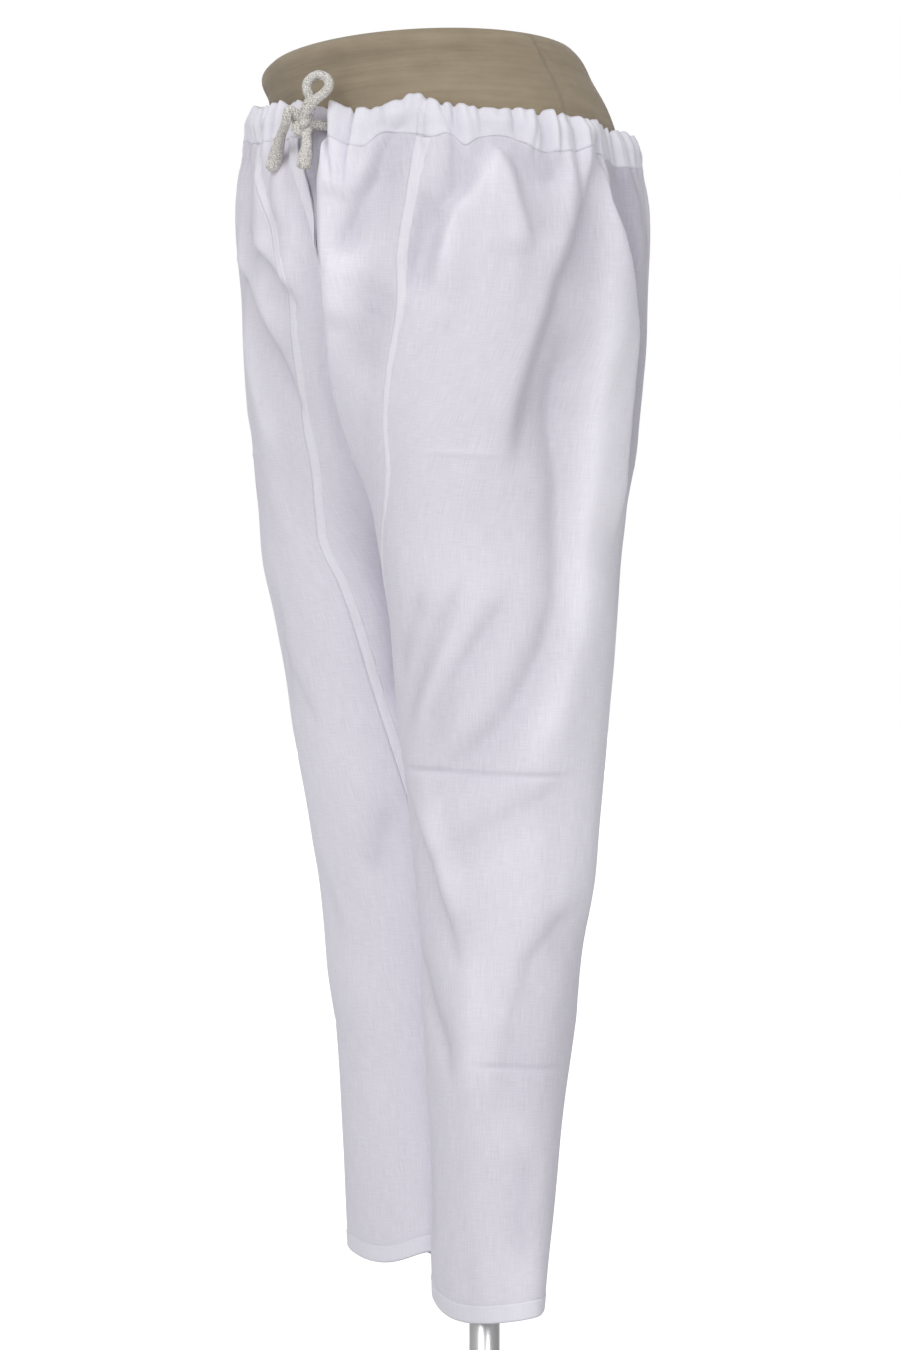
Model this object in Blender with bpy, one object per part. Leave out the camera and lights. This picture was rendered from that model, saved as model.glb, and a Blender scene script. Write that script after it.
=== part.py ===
"""Aligarhi pajama: drawstring trousers with straight narrow legs, on a limbless dress form.

Metres, +Z up. The front faces -Y and the wearer's left is +X. The origin is the centre of the
underside of the stand's base.

The cloth is one surface, read by every panel: lifted(u, height, side). side is 1 for the
wearer's left half and -1 for the right one. u runs once round a half: 0 at the front centre
seam and the inseam, 0.25 at the front of the leg, 0.5 at the outer side, 0.75 at the back and
1 at the back centre seam and the inseam again.
"""

import math

import bpy
import numpy as np

# Cloth, in metres
CLOTH = 0.0015
DOUBLE_CLOTH = 0.0026
SEAM_GAP = 0.0003
STEP = 1e-4  # step of the finite differences

# Heights above the floor, before the tilt of the waist
CASING_TOP = 1.121
CASING_LINE = 1.090
FINE_ROWS_END = 1.050
SLIT_END = 0.990
FORK_TOP = 1.000
CROTCH = 0.770
GORE_TIP = 0.410
HEM_LINE = 0.161
HEM_EDGE = 0.146
SLIT_HALF_WIDTH = 0.0155
FORK_REACH = 1.5  # how closely the fork's sharp rise keeps to the centre seams

# The ring round the hips: half width, half depth
BODY = (
    ("height", "half_width", "half_depth"),
    (
        (0.770, 0.160, 0.155),
        (0.850, 0.166, 0.157),
        (0.910, 0.172, 0.160),
        (0.970, 0.178, 0.161),
        (1.050, 0.182, 0.159),
        (1.090, 0.179, 0.155),
        (1.121, 0.173, 0.149),
    ),
)

# The ring round one leg, and its clearance from the centre plane
LEG = (
    ("height", "half_width", "half_depth", "clearance"),
    (
        (0.146, 0.079, 0.031, 0.0030),
        (0.210, 0.080, 0.038, 0.0035),
        (0.295, 0.0815, 0.046, 0.0040),
        (0.380, 0.084, 0.055, 0.0040),
        (0.465, 0.0855, 0.064, 0.0035),
        (0.550, 0.087, 0.075, 0.0025),
        (0.634, 0.0885, 0.085, 0.0015),
        (0.700, 0.088, 0.094, 0.0008),
        (0.770, 0.086, 0.107, 0.0003),
        (0.850, 0.087, 0.120, 0.0003),
        (1.000, 0.092, 0.135, 0.0003),
    ),
)

# How far the pajama is turned on the form at each height, and how far its right side rides up
SET = (
    ("height", "turn_degrees", "rise_to_right", "shift_x"),
    (
        (0.146, -11.0, 0.02, 0.000),
        (0.300, -11.0, 0.03, 0.007),
        (0.465, -10.0, 0.04, 0.013),
        (0.600, -7.0, 0.05, 0.006),
        (0.700, -4.0, 0.05, 0.000),
        (0.765, -1.0, 0.05, -0.005),
        (0.850, 4.0, 0.06, -0.002),
        (0.900, 8.0, 0.07, 0.000),
        (0.950, 12.0, 0.09, 0.002),
        (1.000, 13.0, 0.10, 0.000),
        (1.060, 11.0, 0.11, 0.000),
        (1.121, 9.0, 0.117, 0.000),
    ),
)

# Where the right hem rides up towards the inseam
HEM_RISE = 0.020
HEM_RISE_AT = 0.030  # u of its highest place
HEM_RISE_WIDTH = 0.120  # in u
HEM_RISE_END = 0.350  # height at which it has died out

# Where the gore seam lies on each leg, as u: the twist draws the right one to the middle
GORE = (
    ("height", "left_edge", "right_edge"),
    (
        (0.410, 0.003, 0.003),
        (0.553, 0.072, 0.072),
        (0.640, 0.115, 0.113),
        (0.729, 0.160, 0.143),
        (0.765, 0.188, 0.155),
        (0.790, 0.202, 0.138),
        (0.820, 0.198, 0.112),
        (0.860, 0.165, 0.095),
        (0.900, 0.147, 0.082),
        (0.950, 0.137, 0.080),
        (1.000, 0.133, 0.092),
        (1.050, 0.153, 0.128),
        (1.121, 0.183, 0.175),
    ),
)

# Drawn-in gathers of the waist
GATHERS = 42
GATHER_DEPTH = 0.0026
GATHER_FADE = 0.050  # length over which they fade below the casing

# Main folds: ridges where depth is positive and troughs where it is negative
FOLDS = (
    ("side", "start_u", "start_height", "end_u", "end_height", "width", "depth"),
    (
        # front of the left hip and thigh
        (1, 0.480, 1.085, 0.400, 1.024, 0.016, -0.007),
        (1, 0.400, 1.024, 0.352, 0.950, 0.018, -0.010),
        (1, 0.352, 0.950, 0.372, 0.850, 0.022, -0.006),
        (1, 0.287, 1.076, 0.215, 1.030, 0.014, -0.005),
        (1, 0.215, 1.030, 0.190, 0.970, 0.016, -0.004),
        (1, 0.420, 1.000, 0.450, 0.860, 0.034, 0.007),
        (1, 0.450, 0.860, 0.510, 0.700, 0.040, 0.005),
        (1, 0.330, 1.070, 0.290, 0.920, 0.028, 0.005),
        (1, 0.138, 1.085, 0.050, 1.010, 0.013, -0.006),
        (1, 0.000, 1.090, 0.000, 1.010, 0.028, 0.009),
        (1, 0.020, 0.985, 0.020, 0.930, 0.020, 0.007),
        (1, 0.405, 0.700, 0.335, 0.640, 0.018, -0.004),
        (1, 0.412, 0.677, 0.350, 0.595, 0.018, -0.003),
        (1, 0.200, 0.520, 0.310, 0.430, 0.020, -0.003),
        (1, 0.200, 0.387, 0.304, 0.330, 0.018, -0.003),
        # left side
        (1, 0.500, 1.085, 0.560, 1.005, 0.014, 0.006),
        (1, 0.562, 1.005, 0.600, 0.800, 0.020, 0.006),
        (1, 0.620, 1.020, 0.650, 0.820, 0.022, -0.007),
        # front of the right hip and thigh
        (-1, 0.000, 1.090, 0.000, 1.000, 0.030, -0.006),
        (-1, 0.160, 1.000, 0.030, 0.940, 0.014, -0.007),
        (-1, 0.150, 0.970, 0.050, 0.890, 0.016, 0.006),
        (-1, 0.210, 0.985, 0.117, 0.927, 0.014, -0.007),
        (-1, 0.117, 0.927, 0.060, 0.860, 0.014, -0.006),
        (-1, 0.260, 0.960, 0.200, 0.860, 0.024, 0.006),
        (-1, 0.370, 1.060, 0.400, 0.900, 0.024, -0.007),
        (-1, 0.470, 1.060, 0.470, 0.880, 0.030, 0.006),
        (-1, 0.560, 1.070, 0.590, 0.850, 0.024, -0.007),
        (-1, 0.300, 0.720, 0.200, 0.640, 0.018, -0.004),
        (-1, 0.350, 0.500, 0.240, 0.420, 0.020, -0.003),
        # backs
        (1, 0.730, 1.070, 0.760, 0.870, 0.024, -0.007),
        (1, 0.800, 1.060, 0.800, 0.880, 0.026, 0.006),
        (1, 0.880, 1.070, 0.860, 0.860, 0.022, -0.006),
        (1, 0.900, 0.830, 0.760, 0.740, 0.020, -0.005),
        (1, 0.850, 0.700, 0.700, 0.600, 0.022, -0.004),
        (-1, 0.700, 1.070, 0.720, 0.870, 0.026, 0.006),
        (-1, 0.780, 1.070, 0.810, 0.880, 0.022, -0.007),
        (-1, 0.890, 1.060, 0.850, 0.870, 0.024, -0.005),
        (-1, 0.900, 0.840, 0.740, 0.750, 0.020, -0.005),
        (-1, 0.830, 0.660, 0.700, 0.570, 0.022, -0.004),
    ),
)

# Drawstring, a woven cord tied in front of the slit with one standing loop
CORD_RADIUS = 0.0038
CORD_END_FLARE = 1.35
KNOT_CENTRE = (0.027, -0.161, 1.098)
KNOT_RADIUS = 0.0100
LOOP_ROUTE = (
    (0.0291, -0.1616, 1.1088),
    (0.0339, -0.1603, 1.1170),
    (0.0316, -0.1616, 1.1250),
    (0.0310, -0.1591, 1.1322),
    (0.0355, -0.1533, 1.1366),
    (0.0431, -0.1501, 1.1330),
    (0.0483, -0.1516, 1.1258),
    (0.0492, -0.1575, 1.1190),
    (0.0457, -0.1637, 1.1130),
    (0.0359, -0.1662, 1.1035),
)
LEFT_END_ROUTE = (
    (0.0273, -0.1696, 1.1052),
    (0.0259, -0.1754, 1.1065),
    (0.0205, -0.1745, 1.0976),
    (0.0045, -0.1690, 1.0880),
    (-0.0073, -0.1645, 1.0767),
    (-0.0145, -0.1645, 1.0660),
)
RIGHT_END_ROUTE = (
    (0.0325, -0.1604, 1.0886),
    (0.0341, -0.1590, 1.0823),
    (0.0320, -0.1575, 1.0743),
    (0.0272, -0.1555, 1.0638),
)

# Columns of each grid. A row in the gathers has twice as many.
PANEL_COLUMNS = 24
GORE_COLUMNS = 8
HEM_COLUMNS = 24
CASING_COLUMNS = 164

# Dress form and stand
FORM = (
    ("height", "half_width", "half_depth", "centre_x", "centre_y"),
    (
        (0.900, 0.134, 0.094, 0.000, 0.004),
        (0.906, 0.141, 0.101, 0.000, 0.004),
        (0.925, 0.150, 0.112, 0.000, 0.004),
        (0.960, 0.158, 0.125, 0.000, 0.004),
        (1.010, 0.164, 0.136, 0.000, 0.003),
        (1.050, 0.1697, 0.1407, 0.000, 0.002),
        (1.090, 0.1677, 0.1387, 0.000, 0.000),
        (1.127, 0.159, 0.130, -0.001, -0.004),
        (1.145, 0.154, 0.126, -0.003, -0.010),
        (1.166, 0.150, 0.122, -0.006, -0.018),
        (1.170, 0.146, 0.118, -0.006, -0.018),
    ),
)
FORM_SIDES = 40
POLE_X, POLE_Y = 0.086, -0.022
POLE_RADIUS = 0.0125
POLE_COLLAR_RADIUS = 0.028
POLE_COLLAR = 0.012
BASE_RADIUS = 0.190
BASE_HEIGHT = 0.014
BASE_EDGE = 0.005


def read(table, name, height):
    """One column of a table at any height, on a smooth curve through its rows."""
    names, rows = table
    rows = np.array(rows)
    x, y = rows[:, 0], rows[:, names.index(name)]
    slope = np.gradient(y, x)
    height = np.clip(height, x[0], x[-1])
    i = np.clip(np.searchsorted(x, height) - 1, 0, len(x) - 2)
    span = x[i + 1] - x[i]
    t = (height - x[i]) / span
    return (
        (2 * t**3 - 3 * t**2 + 1) * y[i]
        + (t**3 - 2 * t**2 + t) * span * slope[i]
        + (3 * t**2 - 2 * t**3) * y[i + 1]
        + (t**3 - t**2) * span * slope[i + 1]
    )


def smooth(value):
    """0 below 0, 1 above 1, and an easy slope between."""
    t = np.clip(value, 0, 1)
    return t * t * (3 - 2 * t)


def body_share(u, height):
    """0 at the crotch, where the section is two legs, and 1 from the fork up, where it is one body.
    It rises at once at the fork itself and slowly at the outer side."""
    t = np.clip((height - CROTCH) / (FORK_TOP - CROTCH), 0, 1)
    at_fork, at_side = np.sqrt(1 - (1 - t) ** 1.25), smooth(t)
    nearness = ((1 + np.cos(2 * np.pi * u)) / 2) ** FORK_REACH
    return at_side + (at_fork - at_side) * nearness


def hem_rise(u, height, side):
    """How far the lower end of the right leg rides above its level line."""
    away = (u - HEM_RISE_AT + 0.5) % 1 - 0.5
    near = (side < 0) * np.exp(-((away / HEM_RISE_WIDTH) ** 2))
    return HEM_RISE * near * smooth((HEM_RISE_END - height) / (HEM_RISE_END - HEM_EDGE))


def bare(u, height, side):
    """The surface before folds: a leg's ellipse blended into half of the body's."""
    width, depth = read(LEG, "half_width", height), read(LEG, "half_depth", height)
    share = body_share(u, height)
    leg_x = read(LEG, "clearance", height) + width * (1 - np.cos(2 * np.pi * u))
    leg_y = -depth * np.sin(2 * np.pi * u)
    body_x = read(BODY, "half_width", height) * np.sin(np.pi * u)
    body_y = -read(BODY, "half_depth", height) * np.cos(np.pi * u)
    x = side * ((1 - share) * leg_x + share * body_x)
    y = (1 - share) * leg_y + share * body_y
    z = height - read(SET, "rise_to_right", height) * x + hem_rise(u, height, side)
    turn = np.radians(read(SET, "turn_degrees", height))
    shift = read(SET, "shift_x", height)
    return np.stack(
        (x * np.cos(turn) - y * np.sin(turn) + shift, x * np.sin(turn) + y * np.cos(turn), z), -1
    )


def normals(surface, u, height, side):
    """Unit normals pointing away from the wearer, by finite differences."""
    along_u = surface(u + STEP, height, side) - surface(u - STEP, height, side)
    along_z = surface(u, height + STEP, side) - surface(u, height - STEP, side)
    normal = np.cross(along_u, along_z) * np.asarray(side)[..., None]
    return normal / np.linalg.norm(normal, axis=-1, keepdims=True)


def girth(height):
    """Length round one half, by the usual estimate for an ellipse."""

    def ellipse(a, b):
        return np.pi * (3 * (a + b) - np.sqrt((3 * a + b) * (a + 3 * b)))

    leg = ellipse(read(LEG, "half_width", height), read(LEG, "half_depth", height))
    body = ellipse(read(BODY, "half_width", height), read(BODY, "half_depth", height)) / 2
    share = body_share(0.5, height)
    return (1 - share) * leg + share * body


def fold_lines():
    """Each fold's ends as distances from the outer side's centre line, and heights."""
    return [
        (side, (u0 - 0.5) * girth(z0), z0, (u1 - 0.5) * girth(z1), z1, width, depth)
        for side, u0, z0, u1, z1, width, depth in FOLDS[1]
    ]


FOLD_LINES = fold_lines()


def gathers(u, height, side):
    """Uneven waves round the waist, which fade below the casing."""
    q = np.where(side > 0, u / 2, 1 - u / 2)
    turn = 2 * np.pi * q
    phase = GATHERS * turn + 2.2 * np.sin(3 * turn + 1) + 1.1 * np.sin(7 * turn)
    uneven = 0.72 + 0.28 * np.sin(5 * turn + 2)
    smooth_patch = 1 - 0.9 * np.exp(-(((q - 0.148) / 0.014) ** 2))
    below = np.clip(CASING_LINE - height, 0, None)
    fade = np.exp(-((below / GATHER_FADE) ** 2))
    return GATHER_DEPTH * uneven * smooth_patch * fade * np.sin(phase)


def folds(u, height, side):
    """The main folds, each a soft ridge or trough along a line on the cloth."""
    total = np.zeros(np.broadcast(u, height).shape)
    x, z = (u - 0.5) * girth(height), height
    for fold_side, x0, z0, x1, z1, width, depth in FOLD_LINES:
        length2 = (x1 - x0) ** 2 + (z1 - z0) ** 2
        t = np.clip(((x - x0) * (x1 - x0) + (z - z0) * (z1 - z0)) / length2, 0, 1)
        away2 = (x - x0 - t * (x1 - x0)) ** 2 + (z - z0 - t * (z1 - z0)) ** 2
        total = total + (side == fold_side) * depth * np.exp(-away2 / width**2)
    sewn = smooth(np.minimum(u, 1 - u) / np.where(height > CROTCH, 0.05, 0.12))
    free = smooth((height - SLIT_END) / 0.02) * (u < 0.5)
    return total * np.maximum(sewn, free)


def lifted(u, height, side):
    lift = gathers(u, height, side) + folds(u, height, side)
    return bare(u, height, side) + lift[..., None] * normals(bare, u, height, side)


def wall(u, height, side, thickness):
    """Matching points of the outer and the inner face of the cloth."""
    u, height, side = np.broadcast_arrays(
        np.asarray(u, float), np.asarray(height, float), np.asarray(side, float)
    )
    outer = lifted(u, height, side)
    return outer, outer - thickness * normals(lifted, u, height, side)


def seam_step(u, height, side):
    """Half of a seam's gap, as a step in u."""
    pace = lifted(u + STEP, height, side) - lifted(u - STEP, height, side)
    return SEAM_GAP / 2 / (np.linalg.norm(pace, axis=-1) / (2 * STEP))


def material(name, colour, roughness, metallic=0.0):
    made = bpy.data.materials.new(name)
    made.use_nodes = True
    shader = made.node_tree.nodes["Principled BSDF"]
    shader.inputs["Base Color"].default_value = (*colour, 1)
    shader.inputs["Roughness"].default_value = roughness
    shader.inputs["Metallic"].default_value = metallic
    return made


def add_mesh(name, points, faces, finish):
    mesh = bpy.data.meshes.new(name)
    mesh.from_pydata([tuple(map(float, point)) for point in points], [], faces)
    mesh.validate()
    mesh.shade_smooth()
    mesh.set_sharp_from_angle(angle=math.radians(50))
    mesh.materials.append(finish)
    made = bpy.data.objects.new(name, mesh)
    bpy.context.scene.collection.objects.link(made)
    return made


def strip_faces(upper, lower):
    """Faces between two rows of point numbers; the upper row may have twice the columns."""
    if len(upper) == len(lower):
        return [
            (upper[i], lower[i], lower[i + 1], upper[i + 1]) for i in range(len(lower) - 1)
        ]
    faces = []
    for i in range(len(lower) - 1):
        a, b, c = upper[2 * i : 2 * i + 3]
        faces += [(a, lower[i], b), (b, lower[i], lower[i + 1]), (b, lower[i + 1], c)]
    return faces


def cloth_piece(name, rows, finish):
    """A closed wall of cloth. Each row is a pair of arrays, outer points and inner points, from
    the top row down, and runs with the wearer's left on the maker's right."""
    numbers, count = [], 0
    for outer, _ in rows:
        numbers.append(list(range(count, count + len(outer))))
        count += len(outer)
    outside = []
    for upper, lower in zip(numbers, numbers[1:]):
        outside += strip_faces(upper, lower)
    points = np.concatenate([outer for outer, _ in rows] + [inner for _, inner in rows])
    inside = [tuple(n + count for n in reversed(face)) for face in outside]
    edges = {(a, b) for face in outside for a, b in zip(face, face[1:] + face[:1])}
    rim = []
    for a, b in sorted(edges):
        if (b, a) in edges:
            continue
        # Split from the higher outer point to the lower inner one, as the neighbour's edge is.
        if points[a][2] > points[b][2]:
            rim += [(b, a, b + count), (a, a + count, b + count)]
        else:
            rim += [(b, a, a + count), (b, a + count, b + count)]
    return add_mesh(name, points, outside + inside + rim, finish)


def panel_heights():
    """Rows of a leg, from under the casing to the hem, closer where the fork is tight."""
    top = CASING_LINE - SEAM_GAP / 2
    fine = list(np.linspace(top, FINE_ROWS_END, 4))
    above = [CROTCH + (FINE_ROWS_END - CROTCH) * (k / 8) ** 1.6 for k in range(7, 0, -1)]
    gore = list(np.linspace(CROTCH, GORE_TIP, 10))
    below = list(np.linspace(GORE_TIP - 0.004, HEM_LINE + SEAM_GAP / 2, 8))
    return len(fine), fine + above + gore, below


def slit_half_width(height):
    """Half of the front slit's opening: nothing at its foot, and widest at the casing."""
    return SLIT_HALF_WIDTH * np.clip((height - SLIT_END) / (CASING_LINE - SLIT_END), 0, 1)


def front_edge(height, side):
    """u of the front centre edge: the seam's own gap, and the slit above its foot."""
    opening = slit_half_width(height) / (np.pi * read(BODY, "half_width", height))
    return opening + seam_step(np.full_like(height, 1e-3), height, side)


def add_panel(name, side, first, last, heights, fine, columns, finish):
    """A leg panel between two edges in u. Its rows in the gathers have twice the columns."""
    rows = []
    for i, height in enumerate(heights):
        count = columns * 2 if i < fine else columns
        u = first[i] + (last[i] - first[i]) * np.linspace(0, 1, count + 1)
        if side > 0:
            rows.append(wall(u, height, side, CLOTH))
        else:
            outer, inner = wall(u[::-1], height, side, CLOTH)
            rows.append((outer, inner))
    return cloth_piece(name, rows, finish)


def add_leg(word, side, finish):
    fine, gore_heights, below = panel_heights()
    heights = np.array(gore_heights + below)
    edge = np.where(heights >= GORE_TIP, read(GORE, f"{word}_edge", heights), 0)
    step = seam_step(edge + 1e-3, heights, side)
    back_step = seam_step(1 - edge - 1e-3, heights, side)
    add_panel(
        f"{word}_leg", side, edge + step, 1 - edge - back_step, heights, fine, PANEL_COLUMNS, finish
    )
    upper = np.array(gore_heights)
    edge, step, back_step = edge[: len(upper)], step[: len(upper)], back_step[: len(upper)]
    front = front_edge(upper, side)
    back = 1 - seam_step(np.full_like(upper, 1 - 1e-3), upper, side)
    add_panel(
        f"{word}_front_gore", side, front, edge - step, upper, fine, GORE_COLUMNS, finish
    )
    add_panel(
        f"{word}_back_gore", side, 1 - edge + back_step, back, upper, fine, GORE_COLUMNS, finish
    )


def add_hem(word, side, finish):
    """The turned-up hem, a closed ring of double cloth."""
    u = np.linspace(0, 1, HEM_COLUMNS + 1)[:-1]
    rows = [wall(u, h, side, DOUBLE_CLOTH) for h in (HEM_LINE - SEAM_GAP / 2, HEM_EDGE)]
    if side < 0:
        rows = [(outer[::-1], inner[::-1]) for outer, inner in rows]
    (top_out, top_in), (low_out, low_in) = rows
    rings = [top_out, low_out, low_in, top_in]
    n = HEM_COLUMNS
    faces = [
        (k * n + i, (k + 1) % 4 * n + i, (k + 1) % 4 * n + (i + 1) % n, k * n + (i + 1) % n)
        for k in range(4)
        for i in range(n)
    ]
    add_mesh(f"{word}_hem", np.concatenate(rings), faces, finish)


def casing_start():
    """Share of the way round the waist at which the casing begins beside the slit."""
    return SLIT_HALF_WIDTH / (2 * np.pi * read(BODY, "half_width", CASING_LINE))


def add_casing(finish):
    """The gathered casing, open at the front slit."""
    q = np.linspace(casing_start(), 1 - casing_start(), CASING_COLUMNS + 1)
    side, u = np.where(q <= 0.5, 1.0, -1.0), np.where(q <= 0.5, 2 * q, 2 - 2 * q)
    heights = (CASING_TOP, (CASING_TOP + CASING_LINE) / 2, CASING_LINE + SEAM_GAP / 2)
    cloth_piece("waist_casing", [wall(u, h, side, DOUBLE_CLOTH) for h in heights], finish)


def loft(name, rings, finish):
    """A closed solid through rings of points, given from the lowest up, with flat ends."""
    n = len(rings[0])
    faces = [
        (k * n + i, k * n + (i + 1) % n, (k + 1) * n + (i + 1) % n, (k + 1) * n + i)
        for k in range(len(rings) - 1)
        for i in range(n)
    ]
    faces += [tuple(reversed(range(n))), tuple(range((len(rings) - 1) * n, len(rings) * n))]
    return add_mesh(name, np.concatenate(rings), faces, finish)


def ring(x, y, z, half_x, half_y, sides):
    angle = np.linspace(0, 2 * np.pi, sides, endpoint=False)
    return np.stack(
        (x + half_x * np.cos(angle), y + half_y * np.sin(angle), np.full(sides, z)), -1
    )


def add_form(jersey, metal):
    rings = [ring(x, y, z, a, b, FORM_SIDES) for z, a, b, x, y in FORM[1]]
    loft("dress_form", rings, jersey)
    foot, head = BASE_HEIGHT + SEAM_GAP, FORM[1][0][0] - SEAM_GAP
    profile = (
        (foot, POLE_COLLAR_RADIUS),
        (foot + POLE_COLLAR, POLE_COLLAR_RADIUS),
        (foot + POLE_COLLAR, POLE_RADIUS),
        (head - POLE_COLLAR, POLE_RADIUS),
        (head - POLE_COLLAR, POLE_COLLAR_RADIUS),
        (head, POLE_COLLAR_RADIUS),
    )
    loft("stand_pole", [ring(POLE_X, POLE_Y, z, r, r, 24) for z, r in profile], metal)
    base = (
        (0, BASE_RADIUS - BASE_EDGE / 2),
        (BASE_EDGE / 2, BASE_RADIUS),
        (BASE_HEIGHT - BASE_EDGE, BASE_RADIUS),
        (BASE_HEIGHT, BASE_RADIUS - BASE_EDGE),
    )
    loft("stand_base", [ring(0, 0, z, r, r, 64) for z, r in base], metal)


def smooth_route(points, spacing):
    """Points at even spacing on a smooth curve through a route."""
    points = np.array(points)
    ends = np.vstack((2 * points[0] - points[1], points, 2 * points[-1] - points[-2]))
    t = np.linspace(0, 1, 20, endpoint=False)[:, None]
    pieces = [
        0.5
        * (
            2 * p1
            + (p2 - p0) * t
            + (2 * p0 - 5 * p1 + 4 * p2 - p3) * t**2
            + (3 * p1 - p0 - 3 * p2 + p3) * t**3
        )
        for p0, p1, p2, p3 in zip(ends, ends[1:], ends[2:], ends[3:])
    ]
    fine = np.vstack(pieces + [points[-1:]])
    along = np.concatenate(([0], np.cumsum(np.linalg.norm(np.diff(fine, axis=0), axis=1))))
    at = np.linspace(0, along[-1], max(2, round(along[-1] / spacing)) + 1)
    return np.stack([np.interp(at, along, fine[:, k]) for k in range(3)], -1)


def add_cord(name, route, spacing, finish, flare=1.0):
    """A stretch of the drawstring; its last third widens by the flare."""
    points = smooth_route(route, spacing)
    curve = bpy.data.curves.new(name, "CURVE")
    curve.dimensions = "3D"
    curve.bevel_depth = CORD_RADIUS
    curve.bevel_resolution = 2
    curve.use_fill_caps = True
    spline = curve.splines.new("POLY")
    spline.points.add(len(points) - 1)
    along = np.linspace(0, 1, len(points))
    for point, place, part_way in zip(spline.points, points, along):
        point.co = (*place, 1)
        point.radius = 1 + (flare - 1) * float(smooth((part_way - 0.6) / 0.4))
    curve.materials.append(finish)
    made = bpy.data.objects.new(name, curve)
    bpy.context.scene.collection.objects.link(made)


def add_knot(finish):
    """The knot: a round lump with three turns of cord showing as ridges."""
    sides, levels = 16, 9
    rings = []
    for k in range(1, levels):
        tilt = np.pi * k / levels - np.pi / 2
        angle = np.linspace(0, 2 * np.pi, sides, endpoint=False)
        reach = KNOT_RADIUS * (0.95 + 0.05 * np.cos(3 * angle + 2 * tilt))
        rings.append(
            np.stack(
                (
                    KNOT_CENTRE[0] + reach * np.cos(tilt) * np.cos(angle),
                    KNOT_CENTRE[1] + reach * np.cos(tilt) * np.sin(angle),
                    KNOT_CENTRE[2] + np.full(sides, KNOT_RADIUS * np.sin(tilt)),
                ),
                -1,
            )
        )
    loft("drawstring_knot", rings, finish)


def casing_exit(side):
    """Middle of the casing's end on one side of the slit, and the way out of it."""
    height = np.array([(CASING_TOP + CASING_LINE) / 2])
    edge = 2 * casing_start()
    ends = []
    for u in (edge, edge + 0.01):
        outer, inner = wall(np.array([u]), height, side, DOUBLE_CLOTH)
        ends.append((outer[0] + inner[0]) / 2)
    way = ends[0] - ends[1]
    return ends[0], way / np.linalg.norm(way)


def add_drawstring(finish):
    add_knot(finish)
    add_cord("drawstring_loop", LOOP_ROUTE, CORD_RADIUS, finish)
    add_cord("drawstring_left_end", LEFT_END_ROUTE, CORD_RADIUS, finish, CORD_END_FLARE)
    add_cord("drawstring_right_end", RIGHT_END_ROUTE, CORD_RADIUS, finish, CORD_END_FLARE)
    centre = np.array(KNOT_CENTRE)
    for word, side in (("left", 1.0), ("right", -1.0)):
        mouth, way = casing_exit(side)
        to_knot = (centre - mouth) / np.linalg.norm(centre - mouth)
        slant = float(np.linalg.norm(np.cross(way, to_knot)))
        start = mouth + way * (2 * SEAM_GAP + CORD_RADIUS * slant)
        finish_at = centre - to_knot * (KNOT_RADIUS + SEAM_GAP)
        add_cord(f"drawstring_{word}_exit", (start, finish_at), CORD_RADIUS, finish)


def main():
    for existing in list(bpy.data.objects):
        bpy.data.objects.remove(existing, do_unlink=True)
    cotton = material("white_cotton", (0.80, 0.79, 0.83), 0.75)
    double_cotton = material("white_cotton_double", (0.88, 0.87, 0.90), 0.75)
    jersey = material("tan_jersey", (0.36, 0.29, 0.20), 0.8)
    metal = material("satin_metal", (0.62, 0.62, 0.62), 0.35, 0.9)
    for word, side in (("left", 1.0), ("right", -1.0)):
        add_leg(word, side, cotton)
        add_hem(word, side, double_cotton)
    add_casing(double_cotton)
    add_drawstring(material("cotton_cord", (0.62, 0.60, 0.57), 0.9))
    add_form(jersey, metal)


main()
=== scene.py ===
import bpy
import numpy as np
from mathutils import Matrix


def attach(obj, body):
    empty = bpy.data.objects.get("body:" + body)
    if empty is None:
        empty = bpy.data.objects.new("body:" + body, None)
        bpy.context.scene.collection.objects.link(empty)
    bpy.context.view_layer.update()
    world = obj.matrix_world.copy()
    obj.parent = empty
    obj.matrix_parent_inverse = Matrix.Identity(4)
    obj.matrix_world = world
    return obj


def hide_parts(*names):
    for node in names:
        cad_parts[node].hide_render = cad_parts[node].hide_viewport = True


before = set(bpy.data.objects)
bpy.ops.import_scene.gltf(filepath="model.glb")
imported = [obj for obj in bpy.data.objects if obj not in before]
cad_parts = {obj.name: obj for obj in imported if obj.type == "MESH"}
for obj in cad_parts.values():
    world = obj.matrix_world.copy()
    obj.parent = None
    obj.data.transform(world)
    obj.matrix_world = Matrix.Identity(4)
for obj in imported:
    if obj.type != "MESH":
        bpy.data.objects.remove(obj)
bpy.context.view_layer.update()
print("frame loaded:", len(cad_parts), "nodes")

# The photograph's view: the camera turns 52 degrees from the front towards the wearer's left.
photoView = {"azimuth": 52, "distance": 2.4, "height": 0.634, "focalPixels": 2832, "pixelsTall": 1350,
             "shiftPixels": (9, 25), "sensor": 36}


def addObject(name, data):
    made = bpy.data.objects.new(name, data)
    bpy.context.scene.collection.objects.link(made)
    return made


def addCamera(view):
    angle, tall = np.radians(view["azimuth"]), view["pixelsTall"]
    camera = bpy.data.cameras.new("photoCamera")
    camera.sensor_width = view["sensor"]
    camera.lens = view["sensor"] * view["focalPixels"] / tall
    camera.shift_x, camera.shift_y = (shift / tall for shift in view["shiftPixels"])
    made = addObject("photoCamera", camera)
    made.location = (view["distance"] * np.sin(angle), -view["distance"] * np.cos(angle), view["height"])
    made.rotation_euler = (np.pi / 2, 0, angle)
    bpy.context.scene.camera = made


addCamera(photoView)
print("camera ready")


def thousandths(*rows):
    return np.array(rows) / 1000


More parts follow.
